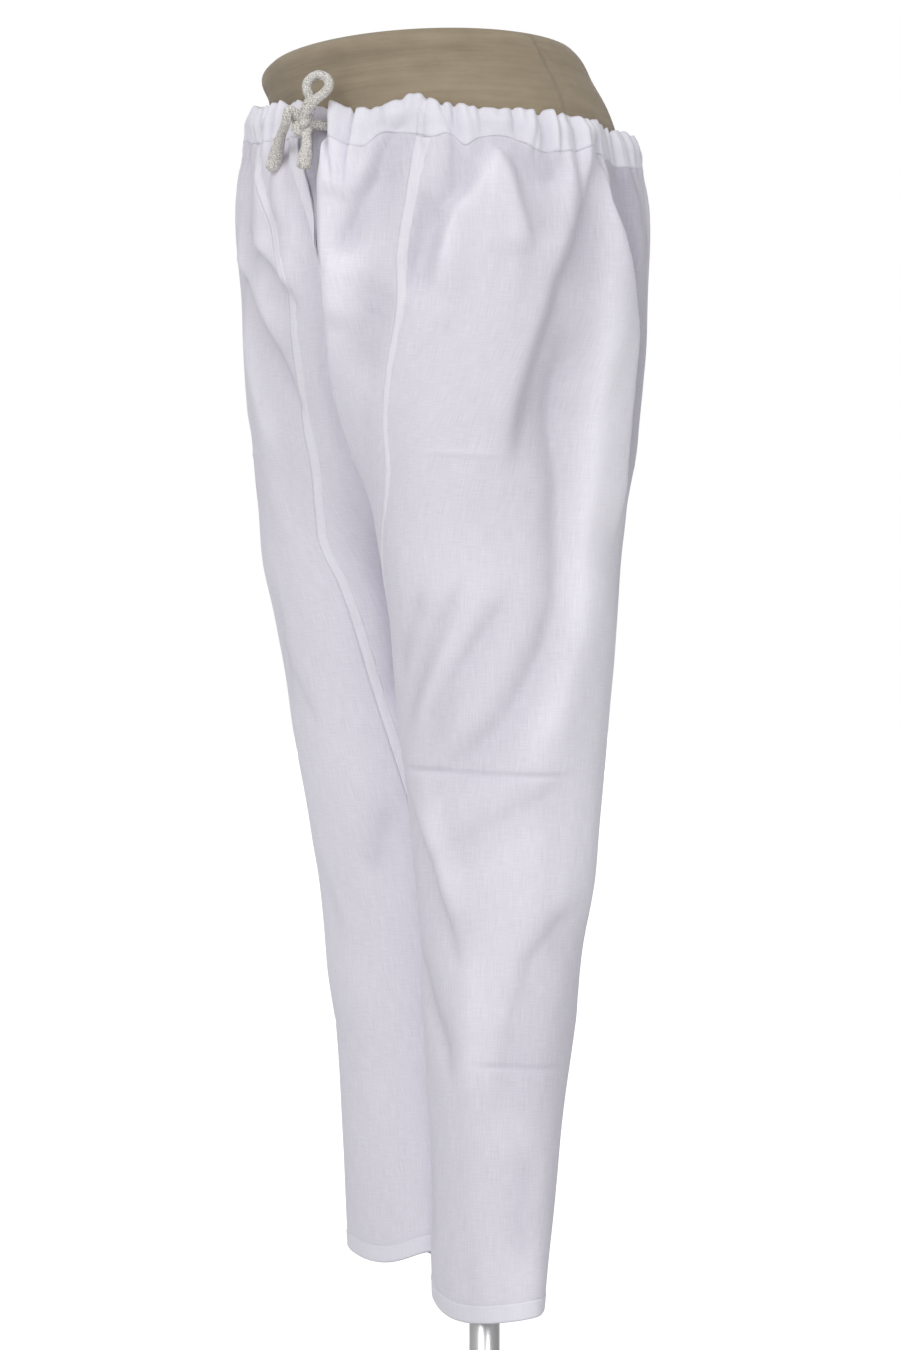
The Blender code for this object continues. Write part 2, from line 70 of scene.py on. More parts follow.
def readTable(rows, column, at):
    # a smooth cubic through the rows, its slopes taken from the neighbouring rows
    x, y = np.array(rows)[:, (0, column)].T
    slope = np.gradient(y, x)
    at = np.clip(at, x[0], x[-1])
    i = np.clip(np.searchsorted(x, at) - 1, 0, len(x) - 2)
    span = x[i + 1] - x[i]
    t = (at - x[i]) / span
    return ((2 * t**3 - 3 * t**2 + 1) * y[i] + (t**3 - 2 * t**2 + t) * span * slope[i]
            + (3 * t**2 - 2 * t**3) * y[i + 1] + (t**3 - t**2) * span * slope[i + 1])


def readColumns(rows, at):
    return [readTable(rows, k, at) for k in range(1, len(rows[0]))]


def ease(value):
    # 0 below 0, 1 above 1 and an easy slope between
    t = np.clip(value, 0, 1)
    return t * t * (3 - 2 * t)


def bell(distance, width):
    # exp(-(distance / width)^2)
    return np.exp(-((distance / width) ** 2))


def softNoise(x, y, seed):
    # random values from -1 to 1 on a unit lattice, blended with an easy slope
    table = np.random.default_rng(seed).uniform(-1, 1, (64, 64))
    i, j = np.floor(x).astype(int), np.floor(y).astype(int)
    s, t = ease(x - i), ease(y - j)
    near, far = (table[i % 64, k % 64] * (1 - s) + table[(i + 1) % 64, k % 64] * s for k in (j, j + 1))
    return near * (1 - t) + far * t


def unit(vectors):
    return vectors / np.maximum(np.linalg.norm(vectors, axis=-1, keepdims=True), 1e-12)


def runLength(points):
    # length along a line of points, from its first one to each
    return np.concatenate(([0], np.cumsum(np.linalg.norm(np.diff(points, axis=0), axis=1))))


def sample(at, along, values):
    return np.stack([np.interp(at, along, column) for column in values.T], -1)


def rotated(x, y, degrees):
    c, s = np.cos(np.radians(degrees)), np.sin(np.radians(degrees))
    return x * c - y * s, x * s + y * c


def ringAngles(sides):
    return np.linspace(0, 2 * np.pi, sides, endpoint=False)


def gridFaces(rows, columns, wrap=False):
    # quads between neighbouring points of a grid whose rows run down and columns to the maker's right
    i = np.arange(rows - 1)[:, None]
    j = np.arange(columns if wrap else columns - 1)[None, :]
    k = (j + 1) % columns
    corners = (i * columns + j, (i + 1) * columns + j, (i + 1) * columns + k, i * columns + k)
    return np.stack(np.broadcast_arrays(*corners), -1).reshape(-1, 4)


def addMesh(name, points, faces, material, uv, paintedShadeAndLayerTone=None):
    mesh = bpy.data.meshes.new(name)
    mesh.from_pydata(points, [], faces)
    mesh.shade_smooth()
    corner = np.empty(len(mesh.loops), np.int32)
    mesh.loops.foreach_get("vertex_index", corner)
    mesh.uv_layers.new(name="clothUv").data.foreach_set("uv", uv[corner].astype(np.float32).ravel())
    if paintedShadeAndLayerTone is not None:
        mesh.attributes.new("paintedShadeAndLayerTone", "FLOAT", "POINT").data.foreach_set("value", paintedShadeAndLayerTone.astype(np.float32))
    mesh.materials.append(material)
    return addObject(name, mesh)


def shell(name, outer, inner, uv, paintedShadeAndLayerTone, material, wrap=False):
    # a closed thin sheet: the outer grid, the inner grid turned round, and quads between their borders
    rows, columns = outer.shape[:2]
    count = rows * columns
    front = gridFaces(rows, columns, wrap)
    number = np.arange(count).reshape(rows, columns)
    top, bottom, left, right = number[0], number[-1], number[:, 0], number[:, -1]
    if wrap:
        top, bottom = np.append(top, top[0]), np.append(bottom, bottom[0])
    rims = [(top[:-1], top[1:]), (bottom[1:], bottom[:-1])]
    if not wrap:
        rims += [(left[1:], left[:-1]), (right[:-1], right[1:])]
    faces = np.concatenate([front, front[:, ::-1] + count]
                           + [np.stack((a, b, b + count, a + count), -1) for a, b in rims])
    points = np.concatenate((outer.reshape(-1, 3), inner.reshape(-1, 3)))
    return addMesh(name, points, faces, material, np.tile(uv.reshape(-1, 2), (2, 1)),
                   np.tile(paintedShadeAndLayerTone.ravel(), 2))


def closedRings(name, rings, ends, radius, along, material, flip=False):
    # a skin over rings of points, closed by a fan to one more point at each end
    count, sides = rings.shape[:2]
    turn = np.arange(sides)
    after, last, middle = (turn + 1) % sides, (count - 1) * sides, np.full(sides, count * sides)
    faces = gridFaces(count, sides, True)
    fans = np.concatenate((np.stack((middle, turn, after), -1),
                           np.stack((middle + 1, last + after, last + turn), -1)))
    if flip:
        faces, fans = faces[:, ::-1], fans[:, ::-1]
    uv = np.stack(np.broadcast_arrays(ringAngles(sides) * radius, along[:, None]), -1).reshape(-1, 2)
    return addMesh(name, np.concatenate((rings.reshape(-1, 3), ends)), faces.tolist() + fans.tolist(),
                   material, np.concatenate((uv, [(0, 0), (0, along[-1])])))


# Colours and surfaces

class NodeKit:
    # short ways to place and join nodes in one tree

    def __init__(self, tree):
        self.tree = tree

    def add(self, kind, settings=None, **values):
        node = self.tree.nodes.new(kind)
        for key, value in (settings or {}).items():
            setattr(node, key, value)
        self.fill(node.inputs, values)
        return node

    def feed(self, socket, value):
        if isinstance(value, bpy.types.NodeSocket):
            self.tree.links.new(value, socket)
        else:
            socket.default_value = value

    def fill(self, sockets, values):
        for key, value in values.items():
            self.feed(sockets[key], value)

    def math(self, operation, *values):
        node = self.add("ShaderNodeMath", {"operation": operation})
        self.fill(node.inputs, dict(enumerate(values)))
        return node.outputs[0]

    def times(self, a, b, plus=0.0):
        return self.math("MULTIPLY_ADD", a, b, plus)

    def noise(self, vector, across, along, detail):
        # noise on stretched coordinates, centred on zero
        stretch = self.add("ShaderNodeMapping", Vector=vector, Scale=(across, along, 1))
        texture = self.add("ShaderNodeTexNoise", Vector=stretch.outputs[0], Scale=1, Detail=detail)
        return self.math("SUBTRACT", texture.outputs[0], 0.5)

    def clothUv(self):
        return self.add("ShaderNodeUVMap", {"uv_map": "clothUv"}).outputs[0]

    def crossedWaves(self, uv, perMetre):
        # one sine across the cloth times one along it
        split = self.add("ShaderNodeSeparateXYZ", Vector=uv)
        turns = self.times(perMetre, 2 * np.pi)
        return self.times(*(self.math("SINE", self.times(split.outputs[k], turns)) for k in (0, 1)))


def patternGroup(name, inputs):
    # a node group with these inputs, and the outputs Shade and Height
    group = bpy.data.node_groups.new(name, "ShaderNodeTree")
    for label, value in inputs.items():
        made = group.interface.new_socket(name=label, in_out="INPUT", socket_type="NodeSocketFloat")
        made.default_value = value
    for label in ("Shade", "Height"):
        group.interface.new_socket(name=label, in_out="OUTPUT", socket_type="NodeSocketFloat")
    kit = NodeKit(group)
    return group, kit, kit.add("NodeGroupInput").outputs, kit.add("NodeGroupOutput").inputs


def weaveGroup():
    # Plain weave on the cloth's UV map, which is in metres with V along the warp: fine crossed threads,
    # slubs and streaks that run along the warp, and slow cloudy patches. A per-point attribute adds painted
    # shade in fold troughs, painted highlight on their crests, and the lighter tone of doubled seams.
    group, kit, given, out = patternGroup("plainWeave", {"Threads Per Metre": 1400, "Streaks": 1,
                                                         "Crumple": 1, "Painted Shade And Layer Tone": 0.46})
    uv, threads = kit.clothUv(), 0.0
    for across, along, detail, strength in ((620, 22, 2, 0.3), (1500, 55, 2, 1.1), (70, 1400, 1, 0.7)):
        threads = kit.times(kit.noise(uv, across, along, detail), strength, threads)
    threads = kit.times(threads, given["Streaks"])
    shade = kit.times(kit.times(kit.noise(uv, 16, 8, 3), 0.3, threads), 0.8, 0.5)
    # painted shade in fold troughs and painted highlight on crests, read from the mesh, with the lighter tone
    # of doubled seams
    paintedShadeAndLayerTone = kit.add("ShaderNodeAttribute", {"attribute_name": "paintedShadeAndLayerTone"}).outputs["Fac"]
    height = kit.times(kit.crossedWaves(uv, given["Threads Per Metre"]), 0.00002)
    height = kit.times(kit.times(kit.noise(uv, 48, 26, 3), given["Crumple"]), 0.0009, height)
    kit.fill(out, {"Shade": kit.times(paintedShadeAndLayerTone, given["Painted Shade And Layer Tone"], shade),
                   "Height": kit.times(threads, 0.00009, height)})
    return group


def jerseyGroup():
    # Fine knit on the form's UV map: rows of small loops, with creases that lie round the form. The creases
    # are darker in their hollows and lighter on their ridges, painted shade and highlight, over a random
    # change of tone.
    group, kit, given, out = patternGroup("fineKnit", {"Loops Per Metre": 900})
    uv = kit.clothUv()
    loops = kit.math("ABSOLUTE", kit.crossedWaves(uv, given["Loops Per Metre"]))
    creases = kit.noise(uv, 9, 150, 3)
    shade = kit.times(kit.math("ADD", creases, kit.noise(uv, 30, 60, 2)), 0.8, 0.5)
    kit.fill(out, {"Shade": shade, "Height": kit.times(creases, 0.0016, kit.times(loops, 0.00012))})
    return group


def braidGroup():
    # Coarse cord: small light cells parted by dark gaps, with fibres that fleck them.
    group, kit, given, out = patternGroup("braid", {"Strands Per Metre": 720})
    place = kit.add("ShaderNodeTexCoord").outputs["Object"]
    cells = kit.add("ShaderNodeTexVoronoi", Vector=place, Scale=given["Strands Per Metre"], Randomness=0.7)
    fleck = kit.add("ShaderNodeTexNoise", Vector=place, Scale=1900, Detail=2)
    lit = kit.math("SUBTRACT", 1, cells.outputs["Distance"])
    flecked = kit.times(lit, kit.math("ADD", fleck.outputs[0], 0.62))
    kit.fill(out, {"Shade": flecked, "Height": kit.times(lit, 0.0006)})
    return group


def brushedGroup():
    # Fine brushed lines that run round the upright axis, and a slow change of polish.
    group, kit, _, out = patternGroup("brushedMetal", {})
    uv = kit.clothUv()
    lines = kit.noise(uv, 6, 2600, 2)
    shade = kit.times(kit.math("ADD", lines, kit.noise(uv, 12, 12, 2)), 0.7, 0.5)
    kit.fill(out, {"Shade": shade, "Height": kit.times(lines, 0.00003)})
    return group


# Sockets of a Mix node that mixes colours, which share their names with its other sockets
mixFactor, mixDark, mixLight, mixResult = 0, 6, 7, 2


def patternedMaterial(name, group, dark, light, roughness=0.75, bump=0.7, sheen=0, metallic=0, settings=None):
    # the group's shade runs from the dark colour to the light one, and its height feeds a bump
    made = bpy.data.materials.new(name)
    made.use_nodes = True
    kit = NodeKit(made.node_tree)
    pattern = kit.add("ShaderNodeGroup", {"node_tree": group})
    kit.fill(pattern.inputs, settings or {})
    mix = kit.add("ShaderNodeMix", {"data_type": "RGBA", "clamp_factor": False})
    kit.fill(mix.inputs, {mixFactor: pattern.outputs["Shade"], mixDark: (*dark, 1), mixLight: (*light, 1)})
    relief = kit.add("ShaderNodeBump", Strength=bump, Distance=1.0, Height=pattern.outputs["Height"])
    kit.fill(made.node_tree.nodes["Principled BSDF"].inputs,
             {"Base Color": mix.outputs[mixResult], "Roughness": roughness, "Normal": relief.outputs[0],
              "Sheen Weight": sheen, "Metallic": metallic})
    return made


weave = weaveGroup()
cotton = patternedMaterial("whiteCotton", weave, (0.665, 0.645, 0.725), (0.885, 0.865, 0.945), sheen=0.1)
seamCotton = patternedMaterial("whiteCottonSeam", weave, (0.715, 0.7, 0.77), (0.91, 0.895, 0.96), sheen=0.1,
                               settings={"Streaks": 0.8, "Crumple": 0.6})
doubleCotton = patternedMaterial("whiteCottonDouble", weave, (0.74, 0.727, 0.8), (0.895, 0.885, 0.955),
                                 sheen=0.1, settings={"Streaks": 0.8, "Crumple": 1.2})
sewing = patternedMaterial("sewingThread", weave, (0.8, 0.79, 0.83), (0.94, 0.93, 0.97), 0.6, 0.3,
                           settings={"Threads Per Metre": 2500, "Streaks": 0.5, "Crumple": 0})
cordCotton = patternedMaterial("wovenCord", braidGroup(), (0.27, 0.24, 0.205), (1, 0.985, 0.95), 0.9, 0.9)
jersey = patternedMaterial("tanJersey", jerseyGroup(), (0.27, 0.215, 0.145), (0.42, 0.345, 0.24), 0.65, 0.8,
                           sheen=0.15)
metal = patternedMaterial("satinMetal", brushedGroup(), (0.7, 0.7, 0.71), (0.86, 0.86, 0.87), 0.3, 0.5,
                          metallic=0.95)
print("materials ready")


# The cloth's form, the same as its solids'. Inside thousandths() are millimetres, and thousandths of the
# way round a leg or the waist.

clothForm = {
    "casingTop": 1.121, "casingLine": 1.09, "slitEnd": 0.99, "forkTop": 1.0, "crotch": 0.77, "goreTip": 0.41,
    "hemLine": 0.161, "hemEdge": 0.146, "slitHalfWidth": 0.0155, "forkReach": 1.5, "forkToe": 0.045,
    "clothThickness": 0.0008, "doubleThickness": 0.0016,
    # height, half width and half depth of the ring round the hips
    "body": thousandths((770, 160, 155), (850, 166, 157), (910, 172, 160), (970, 178, 161), (1050, 182, 159),
                        (1090, 179, 155), (1121, 173, 149)),
    # height, half width and half depth of the ring round a leg, clearance from the centre plane
    "leg": thousandths((146, 79, 31, 3), (210, 80, 38, 3.5), (295, 81.5, 46, 4), (380, 84, 55, 4),
                       (465, 85.5, 64, 3.5), (550, 87, 75, 2.5), (634, 88.5, 85, 1.5), (700, 88, 94, 0.8),
                       (770, 86, 107, 0.3), (850, 87, 120, 0.3), (1000, 92, 135, 0.3)),
    # height, turn in degrees, rise to the right, shift along X
    "set": ((0.146, -11, 0.02, 0), (0.3, -11, 0.03, 0.007), (0.465, -10, 0.04, 0.013), (0.6, -7, 0.05, 0.006),
            (0.7, -4, 0.05, 0), (0.765, -1, 0.05, -0.005), (0.85, 4, 0.06, -0.002), (0.9, 8, 0.07, 0),
            (0.95, 12, 0.09, 0.002), (1, 13, 0.1, 0), (1.06, 11, 0.11, 0), (1.121, 9, 0.117, 0)),
    # height, u of the gore seam on the left leg and on the right leg
    "gore": thousandths((410, 3, 3), (553, 72, 72), (640, 115, 113), (729, 160, 143), (765, 188, 155),
                        (790, 202, 138), (820, 198, 112), (860, 165, 95), (900, 147, 82), (950, 137, 80),
                        (1000, 133, 92), (1050, 153, 128), (1121, 183, 175)),
    # side, middle u, width and drop of each dip of a hem, which dies out at the height below
    "hemDips": ((1, 0.24, 0.17, 0.016), (-1, 0.03, 0.12, -0.02)), "hemDipsEnd": 0.35,
}

gatherForm = {
    "count": 42, "depth": 0.0026, "fade": 0.05, "slowFade": 0.12, "slowDepth": 0.003, "smoothAt": 0.148,
    "smoothWidth": 0.014, "lineWave": 0.01, "topWave": 0.0024, "puckers": 120, "puckerDepth": 0.004,
    "puckerWidth": 0.0022, "puckerReach": 0.03, "aroundWaist": 1.04, "nearKnot": 0.05, "seenUntil": 0.25,
    # least and most of each pucker's place, depth, width, reach and slant
    "chances": ((-0.6, 0.6), (0, 1), (0.7, 1.7), (0.3, 1.6), (-0.25, 0.25)),
    # share of the way round, rise of the sewn line
    "line": thousandths((10, -2), (23, -5), (35, -9.5), (48, -8), (56, 1), (69, 4.5), (83, 4), (98, 1),
                        (114, 4.2), (123, -3.5), (133, 3), (146, 6.5), (156, 6.5), (167, 4), (181, -1.5),
                        (198, -1.2), (214, 1), (241, 6.5), (250, 1)),
    # share of the way round, rise of the top edge
    "top": thousandths((10, 0), (37.5, -6), (52, -6), (69, -2), (88, 4.5), (108.5, -2), (123, -2), (150, -2),
                       (194, 0), (223, -2), (254, 0)),
}

# The dress form's rings, which the cloth stays clear of
formShape = {
    # height, half width, half depth, centre x, centre y
    "rings": thousandths((900, 134, 94, 0, 4), (906, 141, 101, 0, 4), (925, 150, 112, 0, 4),
                         (960, 158, 125, 0, 4), (1010, 164, 136, 0, 3), (1050, 169.7, 140.7, 0, 2),
                         (1090, 167.7, 138.7, 0, 0), (1127, 159, 130, -1, -4), (1145, 154, 126, -3, -10),
                         (1166, 150, 122, -6, -18), (1170, 146, 118, -6, -18)),
    "sides": 192, "rows": 90, "capRows": 10, "clearance": 0.0032,
}

# Folds: side, line as u, height, u, height and so on, width, lean from -1 to 1, depth, in thousandths but
# for the lean. A trough's depth is negative. Where a line runs downwards, a positive lean widens its flank
# towards the larger u.
folds = (
    # hip of the left leg: the tuck that runs down from the side, its crest, and the long trough below
    (1, (484, 1089, 457, 1052, 424, 1012, 400, 980, 397, 940, 408, 898, 420, 853, 424, 815), 28, 0.66,
     -13),
    (1, (486, 1071, 487, 1032, 492, 975, 508, 918, 518, 861, 525, 803, 528, 740, 520, 690, 495, 640,
     462, 600, 430, 575), 22, 0, 7),
    (1, (425, 960, 450, 883, 478, 818, 492, 754, 490, 719, 470, 685, 442, 655, 405, 622, 360, 600,
     305, 582, 250, 570), 21, 0.35, -8.5),
    # the pleat at its side, with the cloth that lies behind it
    (1, (497, 1091, 493, 1059, 512, 1029, 535, 1004, 560, 960, 575, 900, 580, 820, 575, 760), 16, -0.75,
     9),
    (1, (517, 1091, 514, 1055, 537, 1022, 562, 995, 590, 950, 603, 890, 607, 810), 14, 0.6, -16),
    (1, (560, 1080, 575, 1040, 620, 980, 650, 900, 660, 800), 22, 0, 6.5),
    # the tent below the smooth stretch of the casing, and the hollow beside it
    (1, (296, 1074, 262, 1052, 230, 1034, 212, 1012, 203, 985, 197, 960), 13, 0.62, 8.5),
    (1, (268, 1082, 232, 1055, 198, 1034, 182, 1010, 174, 985, 170, 955), 12, -0.4, -6.6),
    (1, (296, 1072, 308, 1054, 322, 1027, 330, 1000), 14, -0.5, 6.5),
    (1, (305, 1078, 350, 1073, 412, 1079), 13, 0, -10.5),
    (1, (350, 1070, 362, 1040, 372, 1010), 18, 0, -4),
    # between the slit and the gore seam: the drag line, the patch beside it and the bulge at the slit's foot
    (1, (142, 1089, 117, 1069, 88, 1042, 62, 1012, 40, 978), 12.5, 0.45, -11.8),
    (1, (52, 1088, 46, 1060, 44, 1035), 13, 0, 6.5),
    (1, (52, 1004, 34, 975, 22, 935), 15, 0.4, 7.5),
    (1, (104, 995, 96, 960, 98, 925, 104, 880), 18, 0, -5.5),
    (1, (178, 1050, 172, 1017, 158, 952), 12, 0.5, -6.5),
    (1, (50, 992, 58, 972, 87, 947, 136, 937), 3, 0, -0.6),
    (1, (246, 955, 221, 927, 183, 900), 3, 0, -0.6),
    # thigh, knee and shin of the left leg
    (1, (440, 738, 400, 709, 360, 677, 315, 642, 265, 606, 225, 580), 13, 0.45, -6.2),
    (1, (398, 742, 358, 712, 313, 672, 263, 630, 220, 600), 12, 0, 2.2),
    (1, (370, 742, 328, 708, 282, 673, 232, 634, 190, 604), 12, 0.4, -5.8),
    (1, (300, 730, 250, 695, 200, 655), 12, 0.3, -3.5),
    (1, (560, 592, 487, 568, 392, 543, 300, 518, 235, 500), 18, 0.35, -3.8),
    (1, (500, 540, 400, 510, 310, 486), 18, 0, 1.2),
    (1, (150, 595, 188, 556, 237, 516, 275, 468, 320, 415), 9.5, -0.3, -6),
    (1, (232, 565, 282, 516, 322, 455), 14, 0, 4),
    (1, (130, 440, 190, 406, 245, 366, 290, 322), 11, 0.3, -6.5),
    (1, (340, 450, 330, 380, 318, 305), 20, 0, 3.5),
    (1, (600, 486, 515, 462, 452, 430, 420, 372, 392, 325, 345, 290), 26, 0.6, -5.2),
    (1, (130, 310, 120, 240, 125, 180), 20, 0, -4),
    (1, (450, 290, 435, 225, 440, 175), 22, 0, -3.5),
    # front of the right hip, thigh and knee
    (-1, (0, 1095, 6, 1050, 6, 1000), 22, 0, -5.5),
    (-1, (220, 1022, 170, 1005, 125, 990, 83, 965, 45, 938), 11, 0.5, -5.8),
    (-1, (160, 1010, 105, 985, 62, 958), 12, -0.3, 4.5),
    (-1, (300, 998, 250, 990, 200, 970, 142, 927, 104, 893, 75, 855), 11, 0.5, -5.8),
    (-1, (270, 1006, 215, 985, 160, 950, 115, 912), 13, -0.3, 4.5),
    (-1, (215, 1090, 195, 1050, 190, 1010), 11, 0.3, -5),
    (-1, (100, 1085, 88, 1050, 80, 1015), 12, 0, 3.5),
    (-1, (262, 960, 215, 880, 190, 820), 23, 0, 5.5),
    (-1, (370, 1080, 380, 1030, 398, 990, 420, 950), 18, 0.4, -4.5),
    (-1, (470, 1080, 474, 980, 478, 860, 474, 760), 24, 0, 6.2),
    (-1, (545, 1085, 560, 1020, 585, 940, 600, 850), 17, -0.5, -8),
    (-1, (290, 740, 300, 672, 312, 605), 16, 0.3, -2.8),
    (-1, (62, 775, 56, 720, 56, 660, 62, 610), 13, 0, -11.5),
    (-1, (350, 800, 360, 700, 370, 550, 375, 340), 60, 0, 4.2),
    (-1, (405, 965, 398, 890, 385, 835), 40, 0, 7),
    (1, (598, 840, 590, 760, 585, 650, 575, 440), 45, 0, 4.5),
    (-1, (330, 690, 300, 665, 260, 635, 220, 600), 15, 0.4, -1.8),
    (-1, (90, 550, 128, 512, 168, 474), 11, 0, -4.2),
    (-1, (320, 510, 265, 455, 215, 405), 16, 0.3, -1.5),
    (-1, (600, 430, 570, 370, 545, 300), 20, 0.3, -4),
    # backs
    (1, (735, 1085, 742, 1020, 752, 940, 765, 870), 18, 0.4, -8),
    (1, (800, 1080, 802, 980, 800, 880), 22, 0, 6.2),
    (1, (885, 1085, 870, 1010, 855, 930, 835, 870), 15, -0.4, -7.2),
    (1, (905, 850, 850, 800, 790, 760, 730, 735), 16, 0.4, -6.8),
    (1, (880, 800, 820, 752, 750, 715), 14, 0, 3.8),
    (1, (850, 700, 775, 650, 700, 600), 17, 0.4, -5.5),
    (1, (700, 520, 660, 455, 640, 380), 18, 0.3, -4.5),
    (-1, (665, 1085, 660, 1020, 668, 950), 14, 0.4, -7),
    (-1, (715, 1080, 712, 980, 722, 870), 22, 0, 6.2),
    (-1, (780, 1085, 785, 1000, 805, 900, 820, 850), 17, 0.4, -8),
    (-1, (890, 1080, 872, 1000, 855, 900), 18, -0.4, -6.5),
    (-1, (900, 840, 840, 795, 770, 755, 710, 735), 16, 0.4, -6.8),
    (-1, (870, 780, 810, 735, 740, 700), 14, 0, 3.8),
    (-1, (830, 670, 765, 618, 695, 575), 17, 0.4, -5.5),
    (-1, (690, 500, 655, 440, 640, 370), 18, 0.3, -4.5),
)

# Painted shade and painted highlight: darker behind the left hip's pleat, beside the front bulge, on the
# right leg where it meets the left one's edge and over broad stretches of the left leg; lighter on the front
# bulge and on the lit strip of the left hip. Lines as above, with a tone in place of the depth
paintedShadingLines = (
    (1, (575, 1075, 590, 1040, 622, 980, 645, 900, 652, 800, 645, 680), 30, 0, -2),
    (1, (60, 995, 46, 960, 32, 915), 10, 0, 0.42),
    (1, (118, 975, 106, 925), 20, 0, -0.35),
    (1, (300, 930, 290, 760), 90, 0, -0.16),
    (1, (300, 400, 300, 200), 80, 0, -0.16),
    (-1, (50, 800, 50, 720, 52, 660, 60, 600), 14, 0, -1.4),
    (1, (600, 440, 530, 390, 490, 330, 470, 250, 470, 170), 45, 0.5, -0.55),
    (1, (500, 990, 512, 900, 524, 800, 528, 720, 515, 670), 30, 0, 0.9),
)

# The left front overlaps the right one: a roll of cloth beside the centre line, and the trough behind it
rollForm = {"crestAt": 0.014, "steep": 0.007, "gentle": 0.03, "troughAt": -0.004, "troughWidth": 0.009,
            # height, rise of the crest, depth of the trough
            "along": thousandths((790, 0, 0), (860, 4.5, 2), (930, 9.5, 4), (975, 10.5, 4.5), (1040, 7.5, 3),
                                 (1085, 4.5, 1.5), (1121, 3, 1))}

# Sharp lines pressed in when the pajama lay folded: side, then first u, last u, height, depth in thousandths
pressedLines = [(side, *thousandths(*line)) for side, *line in (
    (1, 250, 430, 837, 1), (1, 170, 540, 582, -2.2), (1, 300, 600, 347, -1.2), (-1, 60, 140, 620, -1),
    (-1, 200, 450, 837, 0.6), (-1, 280, 520, 582, -0.7), (-1, 300, 530, 347, -1.2),
    (1, 620, 880, 837, 0.6), (1, 600, 860, 582, -0.8), (-1, 620, 880, 837, 0.6),
    (-1, 600, 860, 582, -0.8), (1, 620, 850, 347, 0.5), (-1, 620, 850, 347, 0.5)
)]
# the second value is the fold depth at which the painted shade and highlight of the folds are full
pressedWidth, paintedShadeDepth, foldFade, smallStep = 0.0026, 0.006, 0.065, 1e-4
# Slow swells of the hanging cloth: depth, length across, length along the warp, seed
swellWaves = (0.0008, 0.032, 0.08, 3), (0.0004, 0.014, 0.045, 5)
sides = ("left", 1), ("right", -1)


def bodyShare(u, height):
    # 0 at the crotch and 1 from the fork up: a steep rise at the fork, an easy slope at the side, and a
    # start toe * log(1 + exp(t / toe)) whose toe widens away from the fork
    f = clothForm
    toe = np.maximum(f["forkToe"] * ease(np.minimum(u, 1 - u) / 0.1), 1e-4)
    t = (height - f["crotch"]) / (f["forkTop"] - f["crotch"])
    t = np.clip(toe * np.logaddexp(0, t / toe), 0, 1)
    atFork, atSide = np.sqrt(1 - (1 - t) ** 1.25), ease(t)
    return atSide + (atFork - atSide) * ((1 + np.cos(2 * np.pi * u)) / 2) ** f["forkReach"]


def hemDip(u, height, side):
    # sum of drop * exp(-(distance round the leg / width)^2), easing in towards the hem
    f = clothForm
    total = sum((side == dipSide) * drop * bell((u - middle + 0.5) % 1 - 0.5, width)
                for dipSide, middle, width, drop in f["hemDips"])
    return total * ease((f["hemDipsEnd"] - height) / (f["hemDipsEnd"] - f["hemEdge"]))


def bareCloth(u, height, side):
    # a leg's ellipse blended into half of the hips' ellipse, tipped up to the right, turned and shifted
    share = bodyShare(u, height)
    bodyWide, bodyDeep = readColumns(clothForm["body"], height)
    legWide, legDeep, clearance = readColumns(clothForm["leg"], height)
    turn, rise, shift = readColumns(clothForm["set"], height)
    x = side * ((1 - share) * (clearance + legWide * (1 - np.cos(2 * np.pi * u)))
                + share * bodyWide * np.sin(np.pi * u))
    y = -(1 - share) * legDeep * np.sin(2 * np.pi * u) - share * bodyDeep * np.cos(np.pi * u)
    turnedX, turnedY = rotated(x, y, turn)
    return np.stack((turnedX + shift, turnedY, height - rise * x - hemDip(u, height, side)), -1)


def girth(height):
    # length round one half, by the usual estimate for an ellipse
    leg, body = (np.pi * (3 * (a + b) - np.sqrt((3 * a + b) * (a + 3 * b)))
                 for a, b, *_ in (readColumns(clothForm[part], height) for part in ("leg", "body")))
    share = bodyShare(0.5, height)
    return (1 - share) * leg + share * body / 2


def belowCasing(height):
    return np.clip(clothForm["casingLine"] - height, 0, None)


def waistTurn(u, side):
    # share of the way round the waist, from the front centre by the wearer's left
    return np.where(side > 0, u / 2, 1 - u / 2)


def fromWaistTurn(q):
    return np.where(q <= 0.5, 2 * q, 2 - 2 * q), np.where(q <= 0.5, 1.0, -1.0)


def puckers(q, height):
    # narrow creases where the cloth is drawn together: sum of -depth * exp(-(d / width)^2), each with
    # its own place, depth, width and reach below the casing's line
    g, count, below = gatherForm, gatherForm["puckers"], belowCasing(height)
    chance = np.random.default_rng(41)
    places, depths, widths, reaches, slants = (chance.uniform(*span, count) for span in g["chances"])
    total = np.zeros(np.broadcast(q, height).shape)
    for place, depth, width, reach, slant in zip(
            (np.arange(count) + places) / count, g["puckerDepth"] * depths**1.5, g["puckerWidth"] * widths,
            g["puckerReach"] * reaches, slants):
        d = (q - place) * g["aroundWaist"] - slant * (clothForm["casingTop"] - height)
        total -= depth * np.exp(-((d / width) ** 2) - (below / reach) ** 2)
    return total * (1 + 0.8 * bell(q, g["nearKnot"]))


